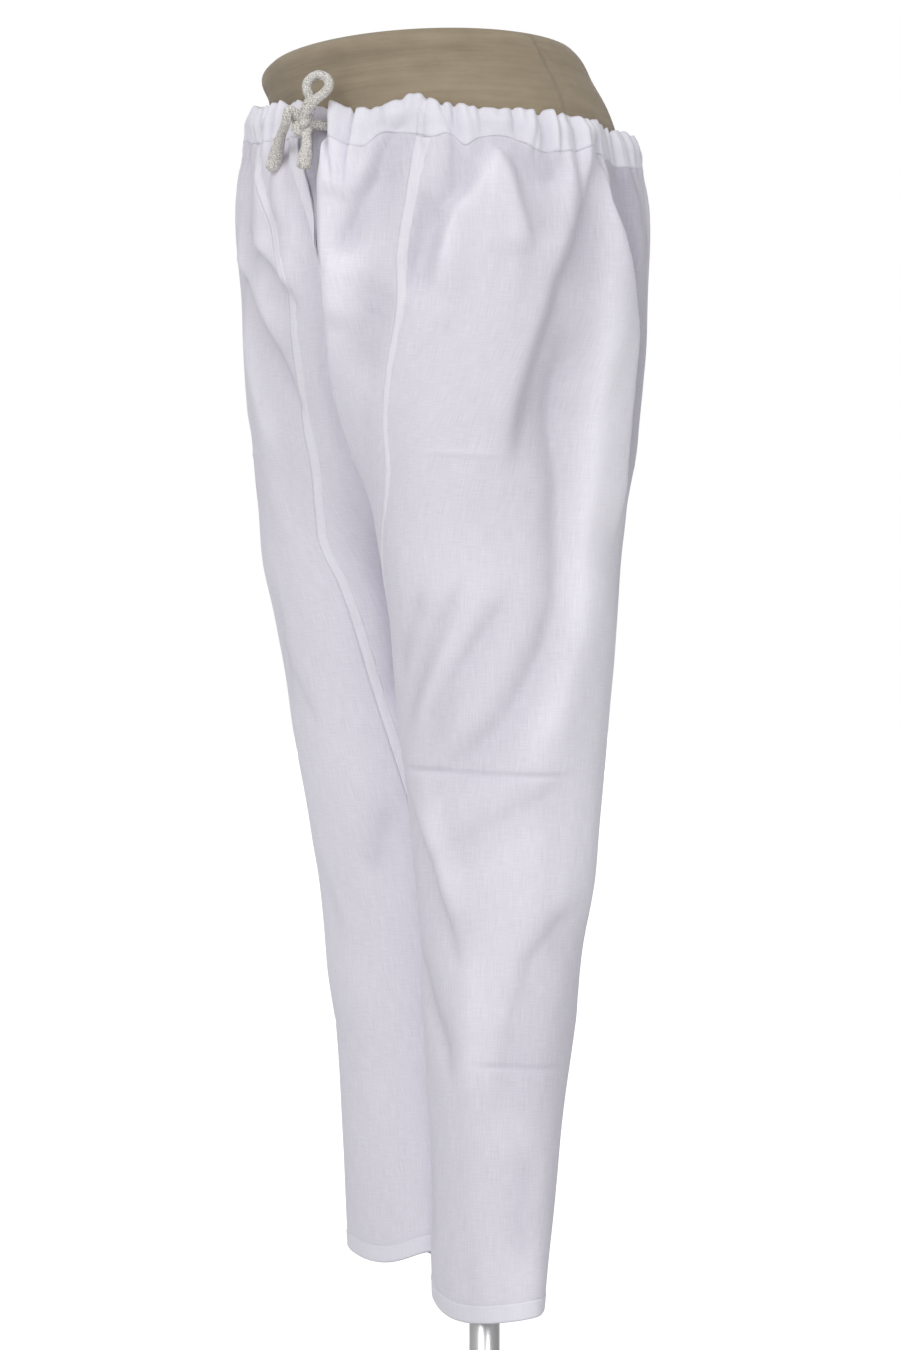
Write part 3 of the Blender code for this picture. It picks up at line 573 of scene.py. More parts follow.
def gathers(u, height, side):
    # uneven waves round the waist with sharper crests, and slower waves that reach further down
    g, q, below = gatherForm, waistTurn(u, side), belowCasing(height)
    turn = 2 * np.pi * q
    phase = g["count"] * turn + 2.2 * np.sin(3 * turn + 1) + 1.1 * np.sin(7 * turn)
    uneven = 0.72 + 0.28 * np.sin(5 * turn + 2)
    patch = 1 - 0.9 * bell(q - g["smoothAt"], g["smoothWidth"])
    near, far = bell(below, g["fade"]), bell(below, g["slowFade"])
    crest = np.sin(phase) + 0.35 * np.sin(2 * phase + 1.2) * near
    fine = 0.35 * softNoise(q * 150, height / 0.02, 11) * near
    slow = np.sin(phase / 2 + 2 * np.sin(2 * turn)) * (1 - bell(below, 0.02))
    return patch * (g["depth"] * uneven * near * (crest + fine) + puckers(q, height)
                    + g["slowDepth"] * far * slow)


def waistWave(u, height, side):
    # rise of the casing's top edge and of its sewn line, each an uneven wave, fading out below
    g, f = gatherForm, clothForm
    q = waistTurn(u, side)

    def wave(count, row, seed):
        return softNoise(q * count, 0 * q + row, seed)

    patch = 1 - 0.8 * bell(q - g["smoothAt"], 1.5 * g["smoothWidth"])
    line = g["lineWave"] * (0.7 * wave(34, 2.5, 21) + 0.3 * wave(80, 7.5, 22))
    top = patch * (g["topWave"] * (wave(60, 4.5, 23) + wave(26, 9.5, 24)) + 1.1 * puckers(q, f["casingTop"]))
    unseen = ease((q - g["seenUntil"]) / 0.02)
    line = readTable(g["line"], 1, q) * (1 - unseen) + line * unseen
    top = top + readTable(g["top"], 1, q) * (1 - unseen)
    share = np.clip((height - f["casingLine"]) / (f["casingTop"] - f["casingLine"]), 0, 1)
    return line * (1 - share) * bell(belowCasing(height), 0.03) + top * share


def alongLines(lines, u, height, side):
    # each line adds depth * exp(-(d / width)^p), with d the distance to it on the flat cloth and
    # p smaller in a trough, which makes it sharper; a lean widens one flank, and the ends fade
    total = np.zeros(np.broadcast(u, height).shape)
    x = (u - 0.5) * girth(height)
    for lineSide, points, width, lean, depth in lines:
        around, level = np.reshape(points, (-1, 2)).T / 1000
        width = width / 1000
        line = np.stack(((around - 0.5) * girth(level), level), -1)
        start = runLength(line)
        nearest = np.full(total.shape, 1e9)
        along, hand = np.zeros(total.shape), np.zeros(total.shape)
        for (lineX, lineZ), (dx, dz), begin, end in zip(line, unit(np.diff(line, axis=0)), start, start[1:]):
            t = np.clip((x - lineX) * dx + (height - lineZ) * dz, 0, end - begin)
            ax, az = x - lineX - t * dx, height - lineZ - t * dz
            away = np.hypot(ax, az)
            closer = away < nearest
            nearest = np.where(closer, away, nearest)
            along = np.where(closer, (begin + t) / start[-1], along)
            hand = np.where(closer, np.tanh((ax * -dz + az * dx) / (0.3 * width)), hand)
        ending = min(0.32, foldFade / start[-1])
        fade = ease((1 - along) / ending + 0.05)
        if level[0] < 1.06:
            fade = fade * ease(along / ending + 0.05)
        flank, power = width * (1 + lean * hand), 1.45 if depth < 0 else 1.7
        total += (side == lineSide) * depth * fade * np.exp(-((nearest / flank) ** power))
    return total


def foldHeight(u, height, side):
    # the folds, and pressed lines of depth * exp(-((height - level) / width)^2), less beside a seam
    f = clothForm
    total = alongLines(folds, u, height, side) / 1000
    for pressSide, first, last, level, depth in pressedLines:
        reach = ease((u - first) / 0.08) * ease((last - u) / 0.08)
        total += (side == pressSide) * reach * depth * bell(height - level, pressedWidth)
    sewn = ease(np.minimum(u, 1 - u) / (0.05 + 0.07 * ease((f["crotch"] + 0.04 - height) / 0.08)))
    return total * np.maximum(sewn, ease((height - f["slitEnd"]) / 0.02) * (u < 0.5))


def frontRoll(u, height, side):
    # across the centre line: rise * exp(-((d - crest) / width)^2), steep towards the right leg, less
    # depth * exp(-((d - trough) / width)^2), with d the distance from the centre line to the left
    r = rollForm
    d = side * np.where(u < 0.5, u, 9.0) * np.pi * readTable(clothForm["body"], 1, height)
    rise, depth = readColumns(r["along"], height)
    width = np.where(d < r["crestAt"], r["steep"], r["gentle"])
    return rise * bell(d - r["crestAt"], width) - depth * bell(d - r["troughAt"], r["troughWidth"])


def roomInside(points):
    # how far the cloth may sink: its distance from the dress form's ring at that height, less a margin
    rings = formShape["rings"]
    a, b, x, y = readColumns(rings, points[..., 2])
    dx, dy = points[..., 0] - x, points[..., 1] - y
    room = (1 - 1 / np.sqrt((dx / a) ** 2 + (dy / b) ** 2)) * np.hypot(dx, dy) - formShape["clearance"]
    return np.where(points[..., 2] > rings[0][0] - 0.02, room, 1.0)


def swells(u, height, side):
    # sum of depth * noise(x / across, height / along), which dies out beside a seam
    x = (u - 0.5) * girth(height) + 3 * side
    swell = sum(depth * softNoise(x / across, height / along, seed)
                for depth, across, along, seed in swellWaves)
    return swell * ease(np.minimum(u, 1 - u) / 0.05)


def clothPoint(u, height, side, lift=0.0):
    # the bare form pushed out along its normal by gathers, folds, the front roll, swells and the lift,
    # and held off the dress form by soft * log(1 + exp((out + room) / soft)) - room
    u, height, side, lift = np.broadcast_arrays(u, height, np.asarray(side, float), lift)
    acrossU = bareCloth(u + smallStep, height, side) - bareCloth(u - smallStep, height, side)
    acrossZ = bareCloth(u, height + smallStep, side) - bareCloth(u, height - smallStep, side)
    normal = unit(np.cross(acrossU, acrossZ) * side[..., None])
    out = sum(part(u, height, side) for part in (gathers, foldHeight, frontRoll, swells)) + lift
    bare = bareCloth(u, height, side)
    room, soft = roomInside(bare), 0.001
    points = bare + (soft * np.logaddexp(0, (out + room) / soft) - room)[..., None] * normal
    points[..., 2] += waistWave(u, height, side)
    return points


def gridNormals(points, wrap=False):
    # normals of a grid from the differences of neighbouring rows and columns
    across = np.roll(points, -1, 1) - np.roll(points, 1, 1) if wrap else np.gradient(points, axis=1)
    return unit(np.cross(np.gradient(points, axis=0), across))


def paintedFoldShading(u, height, side):
    # painted shade and highlight: -1 in a deep trough, where little light reaches the cloth, to 1 on a crest,
    # with the painted shading lines added on top
    raised = foldHeight(u, height, side) + 0.6 * frontRoll(u, height, side) + 0.8 * gathers(u, height, side)
    return np.tanh(raised / paintedShadeDepth) + alongLines(paintedShadingLines, u, height, side)


def finishPiece(piece, slotName, *nodes):
    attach(piece, "root")
    if nodes:
        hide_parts(*nodes)
    return piece


def clothPiece(name, u, height, side, lift, material, *nodes, thickness=clothForm["clothThickness"],
               wrap=False, tone=0):
    # a thin closed sheet on the cloth's form; its UV map is in metres, with V along the warp
    lift = np.broadcast_to(lift, u.shape)
    if side * (u[0, 1] - u[0, 0]) < 0:
        u, height, lift = u[:, ::-1], height[:, ::-1], lift[:, ::-1]
    outer = clothPoint(u, height, side, lift)
    uv = np.stack(((u - 0.5) * girth(height) + side, height), -1)
    # each point's tone is the painted shade and highlight of its folds plus the piece's own tone: painted
    # shade on the slit's underlap, the lighter doubled cloth on a seam
    made = shell(name, outer, outer - thickness * gridNormals(outer, wrap), uv,
                 paintedFoldShading(u, height, side) + tone, material, wrap)
    return finishPiece(made, "white_cotton" if material is cotton else "white_cotton_double", *nodes)


def clothGrid(first, last, heights, columns):
    # u and height of a grid whose rows run from the first edge to the last
    u = first[:, None] + (last - first)[:, None] * np.linspace(0, 1, columns)
    return u, np.broadcast_to(heights[:, None], u.shape)


def metresPerTurn(u, height, side):
    # length along a row for a whole unit of u
    step = bareCloth(u + smallStep, height, side) - bareCloth(u - smallStep, height, side)
    return np.linalg.norm(step, axis=-1) / (2 * smallStep)


def goreEdge(side, height):
    return readTable(clothForm["gore"], 1 if side > 0 else 2, height)


def slitHalf(height):
    # half of the slit's opening in metres: nothing at its foot, widest at the casing
    f = clothForm
    return f["slitHalfWidth"] * np.clip((height - f["slitEnd"]) / (f["casingLine"] - f["slitEnd"]), 0, 1)


def slitEdge(height, spread=1.0):
    # u of the slit's edge, moved away from the centre by the spread
    return spread * slitHalf(height) / (np.pi * readTable(clothForm["body"], 1, height))


# The drawstring: two cords that leave the casing and run through the knot, and the loop above it

cordForm = {
    "radius": 0.0038, "sides": 48, "flare": 1.55, "flareFrom": 0.62, "flareTo": 0.9, "step": 0.0004,
    "strands": 6, "strandPitch": 0.013, "relief": 0.00045, "knotCentre": (0.027, -0.161, 1.098),
    "knotRadius": 0.01,
    "loop": ((0.0291, -0.1616, 1.1088), (0.0339, -0.1603, 1.117), (0.0316, -0.1616, 1.125),
             (0.031, -0.1591, 1.1322), (0.0355, -0.1533, 1.1366), (0.0431, -0.1501, 1.133),
             (0.0483, -0.1516, 1.1258), (0.0492, -0.1575, 1.119), (0.0457, -0.1637, 1.113),
             (0.0359, -0.1662, 1.1035)),
    "leftEnd": ((0.0273, -0.1696, 1.1052), (0.0259, -0.1754, 1.1065), (0.0205, -0.1745, 1.0976),
                (0.0045, -0.169, 1.088), (-0.0073, -0.1645, 1.0767), (-0.0145, -0.1645, 1.066)),
    "rightEnd": ((0.0325, -0.1624, 1.0886), (0.0352, -0.164, 1.0815), (0.035, -0.165, 1.073),
                 (0.0325, -0.1655, 1.06)),
}


def smoothRoute(points, spacing):
    # Catmull-Rom curve through the points, sampled at even steps
    points = np.array(points)
    ends = np.vstack((2 * points[0] - points[1], points, 2 * points[-1] - points[-2]))
    t = np.linspace(0, 1, 40, endpoint=False)[:, None]
    pieces = [0.5 * (2 * b + (c - a) * t + (2 * a - 5 * b + 4 * c - d) * t**2
                     + (3 * b - a - 3 * c + d) * t**3)
              for a, b, c, d in zip(ends, ends[1:], ends[2:], ends[3:])]
    fine = np.vstack(pieces + [points[-1:]])
    along = runLength(fine)
    return sample(np.linspace(0, along[-1], round(along[-1] / spacing) + 1), along, fine)


def braidRelief(angle, along):
    # two crossing sets of strands, each a rounded ridge: max of |sin(n * angle + k * s)| and its mirror
    f = cordForm
    around, forward = f["strands"] / 2 * angle, np.pi / f["strandPitch"] * f["strands"] / 2 * along
    ridge = np.maximum(np.abs(np.sin(around + forward)), np.abs(np.sin(around - forward)))
    return f["relief"] * (ridge - 0.8)


def braidedTube(name, centres, radius):
    # a closed tube: each ring is centre + (radius + relief) * (cos * right + sin * up), its frame carried
    # along the path
    along = runLength(centres)
    tangent = unit(np.gradient(centres, axis=0))
    right = np.empty_like(centres)
    right[0] = unit(np.cross(tangent[0], (0.3, 0.1, 1.0)))
    for k in range(1, len(centres)):
        right[k] = unit(right[k - 1] - tangent[k] * np.dot(right[k - 1], tangent[k]))
    up = np.cross(tangent, right)
    angle = ringAngles(cordForm["sides"])[:, None]
    reach = radius[:, None, None] + braidRelief(angle, along[:, None, None])
    rings = centres[:, None] + reach * (np.cos(angle) * right[:, None] + np.sin(angle) * up[:, None])
    return closedRings(name, rings, centres[[0, -1]], radius.mean(), along, cordCotton)


def addCord(name, route, frayed):
    # a braided tube along the route; a frayed one widens to a blunt end
    f = cordForm
    centres = smoothRoute(route, f["step"])
    share = np.linspace(0, 1, len(centres))
    radius = np.full(len(centres), f["radius"])
    if frayed:
        wider = ease((share - f["flareFrom"]) / (f["flareTo"] - f["flareFrom"]))
        radius = radius * (1 + (f["flare"] - 1) * wider)
        radius = radius * np.sqrt(np.clip(1 - ((share - 0.965) / 0.045).clip(0) ** 2, 0.3, 1))
    return braidedTube(name, centres, radius), centres


def casingMouth(side):
    # middle of the casing's end beside the slit
    f = clothForm
    return clothPoint(slitEdge(f["casingLine"]), (f["casingTop"] + f["casingLine"]) / 2, side,
                      -f["doubleThickness"] / 2)


def addKnot():
    # an overhand knot drawn tight: a trefoil line, (sin t + 2 sin 2t, cos t - 2 cos 2t, -sin 3t),
    # flattened against the cloth and swept by the cord
    f, t = cordForm, np.linspace(0, 2 * np.pi, 260)
    size = f["knotRadius"] / 4.2
    x, z = (np.sin(t) + 2 * np.sin(2 * t)) * size, (np.cos(t) - 2 * np.cos(2 * t)) * size * 1.1
    x, y = rotated(x, -np.sin(3 * t) * size * 1.6, 20)
    points = np.stack((x, y, z), -1) + f["knotCentre"] + (0, -0.002, 0)
    return braidedTube("drawstringKnot", points, np.full(len(points), f["radius"] * 0.98))


def addDrawstring():
    f = cordForm
    centre, left, right = np.array(f["knotCentre"]), casingMouth(1), casingMouth(-1)
    routes = {"Left": (left, centre + (0.001, 0.001, 0.001), *f["leftEnd"]),
              "Right": (right, centre + (-0.003, 0.003, 0.001), centre + (0.003, 0.002, -0.004),
                        *f["rightEnd"]),
              "Loop": (centre + (0.001, 0, 0.004), *f["loop"], centre + (0.003, -0.002, 0.001))}
    made = {word: addCord("drawstring" + word, route, word != "Loop") for word, route in routes.items()}
    knot = addKnot()
    for word, exit, nodes in (("Left", left, ("drawstring_left_exit", "drawstring_left_end")),
                              ("Right", right, ("drawstring_right_exit", "drawstring_right_end")),
                              ("Loop", centre, ("drawstring_loop",))):
        cord, centres = made[word]
        finishPiece(cord, "cotton_cord", *nodes)
    finishPiece(knot, "cotton_cord", "drawstring_knot")


addDrawstring()
print("drawstring ready")


# Panels: two legs, four gores, and the cloth that lies under the front slit

# the flap's tone is painted shade: the cloth behind the slit lies in shadow
panelForm = {"legColumns": 150, "frontColumns": 54, "backColumns": 40, "underSeam": 0.003,
             "underLift": -0.0009, "underCasing": 0.0045, "underHem": 0.003, "flapDepth": -0.0075,
             "flapReach": 0.014, "flapPaintedShade": -1.5, "flapRipple": 0.0012, "flapTop": 0.006,
             "flapFoot": 0.01, "flapRows": 60, "flapColumns": 40, "rightSpread": 1.42}


def panelHeights(low):
    # rows from under the casing down: close together in the gathers, at the fork and at each pressed line
    f = clothForm
    stops = (f["casingLine"] + panelForm["underCasing"], 1.04, f["crotch"] + 0.03, f["crotch"], f["goreTip"],
             f["hemLine"] - panelForm["underHem"])
    rows = np.concatenate([np.linspace(first, last, count, endpoint=False) for first, last, count
                           in zip(stops, stops[1:], (30, 84, 14, 104, 61))] + [stops[-1:]])
    rows = rows[rows >= low - 1e-9]
    creases = np.unique([level for _, _, _, level, _ in pressedLines])
    near = (creases[:, None] + (-0.0035, -0.0018, 0.0, 0.0018, 0.0035)).ravel()
    near = near[near > low]
    rows = rows[np.abs(rows[:, None] - near).min(1) > 0.001]
    return np.sort(np.concatenate((rows, near)))[::-1]


def tuckUnder(height):
    # the cloth steps inwards under the casing and under the hem
    past = height - clothForm["casingLine"], clothForm["hemLine"] - height
    return panelForm["underLift"] * sum(ease(distance / 0.002) for distance in past)


def addLegPanel(word, side):
    # the main panel: from the front gore seam round the outer side to the back one, and the whole
    # tube below the gore's tip
    heights = panelHeights(0)
    edge = goreEdge(side, heights) * ease((heights - clothForm["goreTip"] + 0.02) / 0.02)
    u, height = clothGrid(edge, 1 - edge, heights, panelForm["legColumns"])
    return clothPiece(word + "Leg", u, height, side, tuckUnder(height), cotton, word + "_leg")


def addGore(word, side, end):
    # a tapering gore from its leg seam to the centre seam; it runs a little under the leg panel
    f, p = clothForm, panelForm
    heights = panelHeights(f["goreTip"])
    under = p["underSeam"] / metresPerTurn(goreEdge(side, heights), heights, side)
    seam = goreEdge(side, heights) + under * ease((heights - f["goreTip"]) / 0.02)
    if end == "Back":
        u, height = clothGrid(1 - seam, np.ones_like(seam), heights, p["backColumns"])
        fromCentre = 1 - u
    else:
        edge = slitEdge(heights, 1 if side > 0 else p["rightSpread"])
        u, height = clothGrid(edge, seam, heights, p["frontColumns"])
        fromCentre = u
    past = (fromCentre - goreEdge(side, height)) * metresPerTurn(u, height, side)
    lift = tuckUnder(height) + p["underLift"] * ease(past / p["underSeam"] + 0.5)
    return clothPiece(word + end + "Gore", u, height, side, lift, cotton, f"{word}_{end.lower()}_gore")


def addSlitUnderlap():
    # the cloth behind the slit: it crosses the centre, deeper than both edges, and its darker tone is painted
    # shade
    f, p = clothForm, panelForm
    heights = np.linspace(f["casingTop"] - p["flapTop"], f["slitEnd"] - p["flapFoot"], p["flapRows"])
    reach = (slitHalf(heights) + p["flapReach"]) / (np.pi * readTable(f["body"], 1, heights))
    q, height = clothGrid(-reach, reach, heights, p["flapColumns"])
    ripple = p["flapRipple"] * np.sin(9 * np.linspace(-1, 1, p["flapColumns"]) + 60 * height)
    lift = p["flapDepth"] * (0.35 + 0.65 * ease((height - f["slitEnd"]) / 0.05)) + ripple
    return clothPiece("slitUnderlap", q, height, 1, lift, cotton, tone=p["flapPaintedShade"])


panels = []
for word, side in sides:
    panels += [addLegPanel(word, side), addGore(word, side, "Front"), addGore(word, side, "Back")]
panels.append(addSlitUnderlap())
print("panels ready")


# Casing and hems, both of double cloth

casingForm = {"columns": 900, "rows": 18, "cordSwell": 0.0022, "swellAt": 0.42, "swellWidth": 0.26,
              "lowerEdge": 0.0003, "turn": 0.0012, "turnWidth": 0.05, "lowerTurn": 0.15, "fullness": 1.5}
hemForm = {"columns": 260, "rows": 14, "rise": 0.0005, "riseShare": 0.15, "turn": 0.0008, "turnShare": 0.1}


def cordSwell(t):
    # swell over the cord inside; t runs from the casing's top edge to its line
    return casingForm["cordSwell"] * bell(t - casingForm["swellAt"], casingForm["swellWidth"])


def casingLift(t):
    # the swell, with both edges rolled inwards
    c = casingForm
    roll = c["turn"] * (bell(t, c["turnWidth"]) + c["lowerTurn"] * bell(1 - t, c["turnWidth"]))
    return cordSwell(t) - roll + c["lowerEdge"] * t


def addCasing():
    # a folded strip round the waist
    f, c = clothForm, casingForm
    start = slitEdge(f["casingLine"]) / 2
    t = np.linspace(0, 1, c["rows"])[:, None]
    q, height = np.broadcast_arrays(np.linspace(start, 1 - start, c["columns"]),
                                    f["casingTop"] + (f["casingLine"] - f["casingTop"]) * t)
    u, side = fromWaistTurn(q)
    outer = clothPoint(u, height, side, casingLift(t))
    inner = outer - (f["doubleThickness"] + 2 * cordSwell(t))[..., None] * gridNormals(outer)
    # painted shade in the troughs of the gathers and painted highlight on their crests
    paintedShadeAndLayerTone = np.tanh(1.6 * gathers(u, height, side) / paintedShadeDepth)
    made = shell("waistCasing", outer, inner, np.stack((q * c["fullness"], height), -1), paintedShadeAndLayerTone, doubleCotton)
    return finishPiece(made, "white_cotton_double", "waist_casing")


def addHem(word, side):
    # the turned-up hem: a ring of double cloth with a rounded lower edge
    f, h = clothForm, hemForm
    t = np.linspace(0, 1, h["rows"])[:, None]
    u, height = np.broadcast_arrays(np.linspace(0, 1, h["columns"], endpoint=False),
                                    f["hemLine"] + (f["hemEdge"] - f["hemLine"]) * t)
    lift = h["rise"] * ease(t / h["riseShare"]) - h["turn"] * ease((t - 1) / h["turnShare"] + 1)
    return clothPiece(word + "Hem", u, height, side, lift, doubleCotton, word + "_hem",
                      thickness=f["doubleThickness"], wrap=True)


doubled = [addCasing()] + [addHem(word, side) for word, side in sides]
print("casing and hems ready")


# Flat seams: each is a strip of doubled cloth beside the seam line, with a row of stitches on each edge

seamForm = {"width": 0.0095, "rise": 0.00055, "farRise": 0.4, "pucker": 0.00022, "puckerLength": 0.007,
            # height and width of the left front seam, whose strip is turned under further down
            "taper": thousandths((400, 6.5), (800, 5.5), (900, 6.2), (960, 8.5), (1020, 10.5), (1090, 14)),
            "stitch": 0.0018, "pitch": 0.0026, "threadRadius": 0.00022, "edgeInset": 0.0014, "sunk": 0.00005,
            # first and last share of the waist and height above the casing's line of its second row
            "secondRow": (0.132, 0.166, 0.0052), "firstRowAbove": 0.0018, "hemRowBelow": 0.0016}
seamLines = []


def stitchLine(u, height, side, lift):
    # a line of evenly spaced stitches: centre, direction and outward way of each
    pitch = seamForm["pitch"]
    fine = clothPoint(u, height, side, lift)
    outward = unit(clothPoint(u, height, side, np.asarray(lift) + 0.001) - fine)
    along = runLength(fine)
    at = np.arange(pitch, along[-1] - pitch, pitch)
    centre = sample(at, along, fine)
    return centre, unit(sample(at + 0.0003, along, fine) - centre), unit(sample(at, along, outward))


def seamStrip(name, side, edge, towards, heights, lift, width=seamForm["width"], both=True, tone=0.4):
    # strip from the edge line to one width beside it: its lift is rise * (1 - t^3) with a rounded
    # first edge, plus puckers, so that only the folded edge stands up
    s = seamForm
    lift = np.broadcast_to(lift, heights.shape)
    pace = metresPerTurn(edge, heights, side)
    far = edge + towards * width / pace
    u, height = clothGrid(edge, far, heights, 9)
    t = np.linspace(0, 1, 9)
    pucker = s["pucker"] * softNoise(height / s["puckerLength"], 3 * t + 5 * side, 31)
    level = lift[:, None] + s["rise"] * (1 - t**3) * ease(0.4 + 6 * t) + pucker - 0.0001
    clothPiece(name, u, height, side, level, seamCotton, tone=tone)
    inset = towards * s["edgeInset"] / pace
    if both:
        seamLines.append(stitchLine(edge + inset, heights, side, lift + s["rise"] - s["sunk"]))
    seamLines.append(stitchLine(far - inset, heights, side, lift + s["rise"] * s["farRise"] - s["sunk"]))


def addSeams():
    f = clothForm
    rows = panelHeights(f["goreTip"] - 0.01)
    rows = rows[rows < f["casingLine"] - 0.0005]
    left, right = goreEdge(1, rows), goreEdge(-1, rows)
    seamStrip("leftFrontSeam", 1, left, 1, rows, 0, readTable(seamForm["taper"], 1, rows), tone=0.65)
    seamStrip("rightFrontSeam", -1, right, -1, rows, 0)
    seamStrip("leftBackSeam", 1, 1 - left, -1, rows, 0)
    seamStrip("rightBackSeam", -1, 1 - right, -1, rows, 0)
    back = rows[rows > f["crotch"] + 0.012]
    centre = back[back < f["slitEnd"] - 0.001]
    slit = rows[rows > f["slitEnd"] + 0.001]
    seamStrip("frontCentreSeam", -1, np.full_like(centre, 0.0012), 1, centre, -0.0003, 0.0045, False)
    seamStrip("backCentreSeam", 1, np.full_like(back, 0.9988), -1, back, 0, 0.006, False)
    seamStrip("slitHemRight", -1, slitEdge(slit, panelForm["rightSpread"]) - 0.0006, 1, slit, 0.0012,
              0.0085 * ease((slit - f["slitEnd"]) / 0.05 + 0.1), False, 0.9)
    level = np.linspace(f["casingTop"] - 0.0015, f["casingLine"] + 0.001, 20)
    over = casingLift((f["casingTop"] - level) / (f["casingTop"] - f["casingLine"]))
    for word, side in sides:
        edge = goreEdge(side, level)
        seamStrip(word + "FrontCasingSeam", side, edge, side, level, over)
        seamStrip(word + "BackCasingSeam", side, 1 - edge, -side, level, over)


def addStitching(name, lines):
    # each stitch is a small spindle of four rings, their radius falling towards its ends
    s = seamForm
    centre, ahead, out = (np.concatenate(columns)[:, None, None] for columns in zip(*lines))
    along = np.array((-0.5, -0.34, 0.34, 0.5))[:, None, None] * s["stitch"]
    size = np.array((0.35, 1, 1, 0.35))[:, None, None] * s["threadRadius"]
    angle = ringAngles(4)[:, None] + np.pi / 4
    ring = np.cos(angle) * unit(np.cross(ahead, out)) + np.sin(angle) * out
    points = (centre + along * ahead + size * ring).reshape(-1, 3)
    one = np.concatenate((gridFaces(4, 4, True)[:, (0, 3, 2, 1)], ((3, 2, 1, 0), (12, 13, 14, 15))))
    faces = (one + 16 * np.arange(len(centre))[:, None, None]).reshape(-1, 4)
    print(name, len(centre), "stitches")
    return finishPiece(addMesh(name, points, faces, sewing, points[:, [0, 2]]), "white_cotton_double")


def edgeLines():
    # the casing's sewn line all round, a second one at its smooth stretch, and one on each hem
    f, s = clothForm, seamForm
    start = slitEdge(f["casingLine"]) / 2 + 0.001
    lines = []
    for first, last, above in ((start, 1 - start, s["firstRowAbove"]), s["secondRow"]):
        u, side = fromWaistTurn(np.linspace(first, last, 2400))
        lines.append(stitchLine(u, np.full_like(u, f["casingLine"] + above), side, casingForm["lowerEdge"]))
    u = np.linspace(0, 1, 900)
    below = np.full_like(u, f["hemLine"] - s["hemRowBelow"])
    return lines + [stitchLine(u, below, side, s["rise"]) for _, side in sides]


addSeams()
addStitching("seamStitches", seamLines)
addStitching("edgeStitches", edgeLines())
print("seams ready")


# The dress form and its stand

standShape = {
    "pole": (0.086, -0.022), "poleRadius": 0.0125, "collarRadius": 0.028, "collar": 0.012, "top": 0.9,
    "baseRadius": 0.19, "baseHeight": 0.014, "baseEdge": 0.005, "clearance": 0.0003, "edge": 0.0012,
}


def lathe(name, height, width, depth, x, y, material, sides):
    # rings of these half widths and half depths about (x, y), from the foot up
    angle = ringAngles(sides)[:, None]
    rings = np.stack(np.broadcast_arrays(x + width * np.cos(angle), y + depth * np.sin(angle), height), -1)
    rings = rings.swapaxes(0, 1)
    along = runLength(np.stack((height, width), -1))
    return closedRings(name, rings, rings[[0, -1]].mean(1), width.max(), along, material, True)


def addForm():
    # a lathe through the rings, closed by flat caps: the rings of each end shrink towards its centre
    s = formShape
    height = np.concatenate((np.linspace(0.9, 0.906, 8, endpoint=False), np.linspace(0.906, 1.162, s["rows"]),
                             np.linspace(1.1635, 1.17, 12)))
    inward = np.linspace(1, 0.03, s["capRows"])[1:]
    share = np.concatenate((inward[::-1], np.ones(len(height)), inward))
    height, width, depth, x, y = (np.pad(column, len(inward), "edge")
                                  for column in (height, *readColumns(s["rings"], height)))
    made = lathe("dressForm", height, width * share, depth * share, x, y, jersey, s["sides"])
    finishPiece(made, "tan_jersey", "dress_form")


def addStand():
    s = standShape
    r, e, c, tall = s["poleRadius"], s["edge"], s["collarRadius"], s["collar"]
    foot, head = s["baseHeight"] + s["clearance"], s["top"] - s["clearance"]
    # distance from the pole's end and radius, over one collar
    collar = ((0, c * 0.4), (0, c - e), (e * 0.3, c - e * 0.3), (e, c), (tall - e, c),
              (tall - e * 0.3, c - e * 0.3), (tall, c - e), (tall, r + e), (tall + e, r))
    height, radius = np.array([(foot + z, a) for z, a in collar] + [(0.3, r), (0.6, r)]
                              + [(head - z, a) for z, a in collar[::-1]]).T
    pole = lathe("standPole", height, radius, radius, *s["pole"], metal, 64)
    finishPiece(pole, "satin_metal", "stand_pole")
    broad, thick, edge = s["baseRadius"], s["baseHeight"], s["baseEdge"]
    bend = np.linspace(0, np.pi / 2, 7)
    height, radius = np.array(
        [(0, broad * 0.3), (0, broad - edge / 2)]
        + [(edge / 2 * (1 - np.cos(b)), broad - edge / 2 + edge / 2 * np.sin(b)) for b in bend[1:]]
        + [(thick - edge + edge * np.sin(b), broad - edge + edge * np.cos(b)) for b in bend]
        + [(thick, broad * k) for k in (0.9, 0.6, 0.3)]).T
    finishPiece(lathe("standBase", height, radius, radius, 0, 0, metal, 160), "satin_metal", "stand_base")


addForm()
addStand()
print("form and stand ready")
# Floor, background and light

stageForm = {"floorSize": 80.0, "floorColour": 0.88, "floorGlow": 0.72, "sky": 1.0, "skyLight": 0.36,
             "skySlope": 0.2, "skyTowards": (0.45, -0.8, 0.4), "lampTarget": (0.0, 0.0, 0.7)}


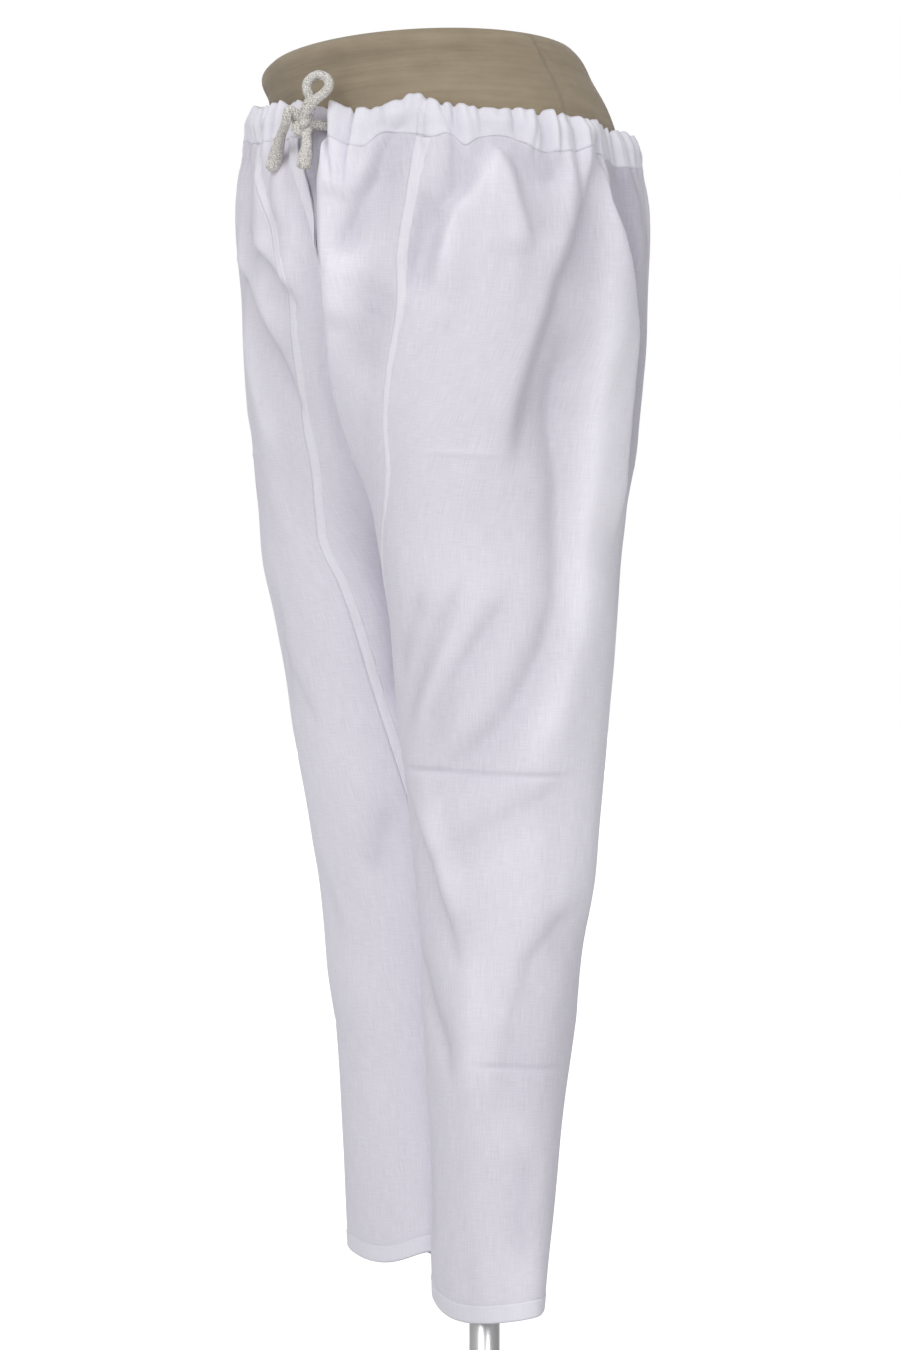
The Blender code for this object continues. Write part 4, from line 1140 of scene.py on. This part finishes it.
def addFloor():
    # a pale floor that the camera sees brighter than it lights the part
    s, half = stageForm, stageForm["floorSize"] / 2
    mesh = bpy.data.meshes.new("floor")
    mesh.from_pydata([(-half, -half, 0), (half, -half, 0), (half, half, 0), (-half, half, 0)], [],
                     [(0, 1, 2, 3)])
    material = bpy.data.materials.new("paleFloor")
    material.use_nodes = True
    kit = NodeKit(material.node_tree)
    seen = kit.add("ShaderNodeLightPath").outputs["Is Camera Ray"]
    kit.fill(material.node_tree.nodes["Principled BSDF"].inputs,
             {"Base Color": (*(s["floorColour"],) * 3, 1), "Roughness": 0.9, "Emission Color": (1, 1, 1, 1),
              "Emission Strength": kit.times(seen, s["floorGlow"])})
    mesh.materials.append(material)
    addObject("floor", mesh)


def addSky():
    # white to the camera, and a softer light with a slope from the front for the part
    s = stageForm
    world = bpy.data.worlds.new("studio")
    world.use_nodes = True
    kit = NodeKit(world.node_tree)
    seen = kit.add("ShaderNodeLightPath").outputs["Is Camera Ray"]
    way = kit.add("ShaderNodeVectorMath", {"operation": "DOT_PRODUCT"})
    kit.fill(way.inputs, {0: kit.add("ShaderNodeTexCoord").outputs["Generated"], 1: s["skyTowards"]})
    light = kit.times(way.outputs["Value"], s["skySlope"], s["skyLight"])
    kit.fill(world.node_tree.nodes["Background"].inputs,
             {"Strength": kit.math("MAXIMUM", light, kit.times(seen, s["sky"])), "Color": (1, 1, 1, 1)})
    bpy.context.scene.world = world


suns = {
    # place it shines from, size in degrees, strength, colour
    "frontLight": ((1.1, -2.4, 2.3), 40, 1.02, (1, 0.99, 0.985)),
    "sideLight": ((2.5, -0.5, 1.9), 20, 0.44, (1, 0.99, 0.985)),
    "backLight": ((-2.2, 1.8, 1.7), 60, 0.6, (0.98, 0.98, 1)),
}


def addSun(name, place, size, strength, colour):
    lamp = bpy.data.lights.new(name, "SUN")
    lamp.energy, lamp.color, lamp.angle = strength, colour, np.radians(size)
    made = addObject(name, lamp)
    made.visible_camera = False
    made.location = place
    x, y, z = np.subtract(stageForm["lampTarget"], place)
    made.rotation_euler = (np.arctan2(np.hypot(x, y), -z), 0, np.arctan2(y, x) - np.pi / 2)


addFloor()
addSky()
for name, values in suns.items():
    addSun(name, *values)
bpy.context.scene.view_settings.view_transform = "Standard"
print("stage ready")
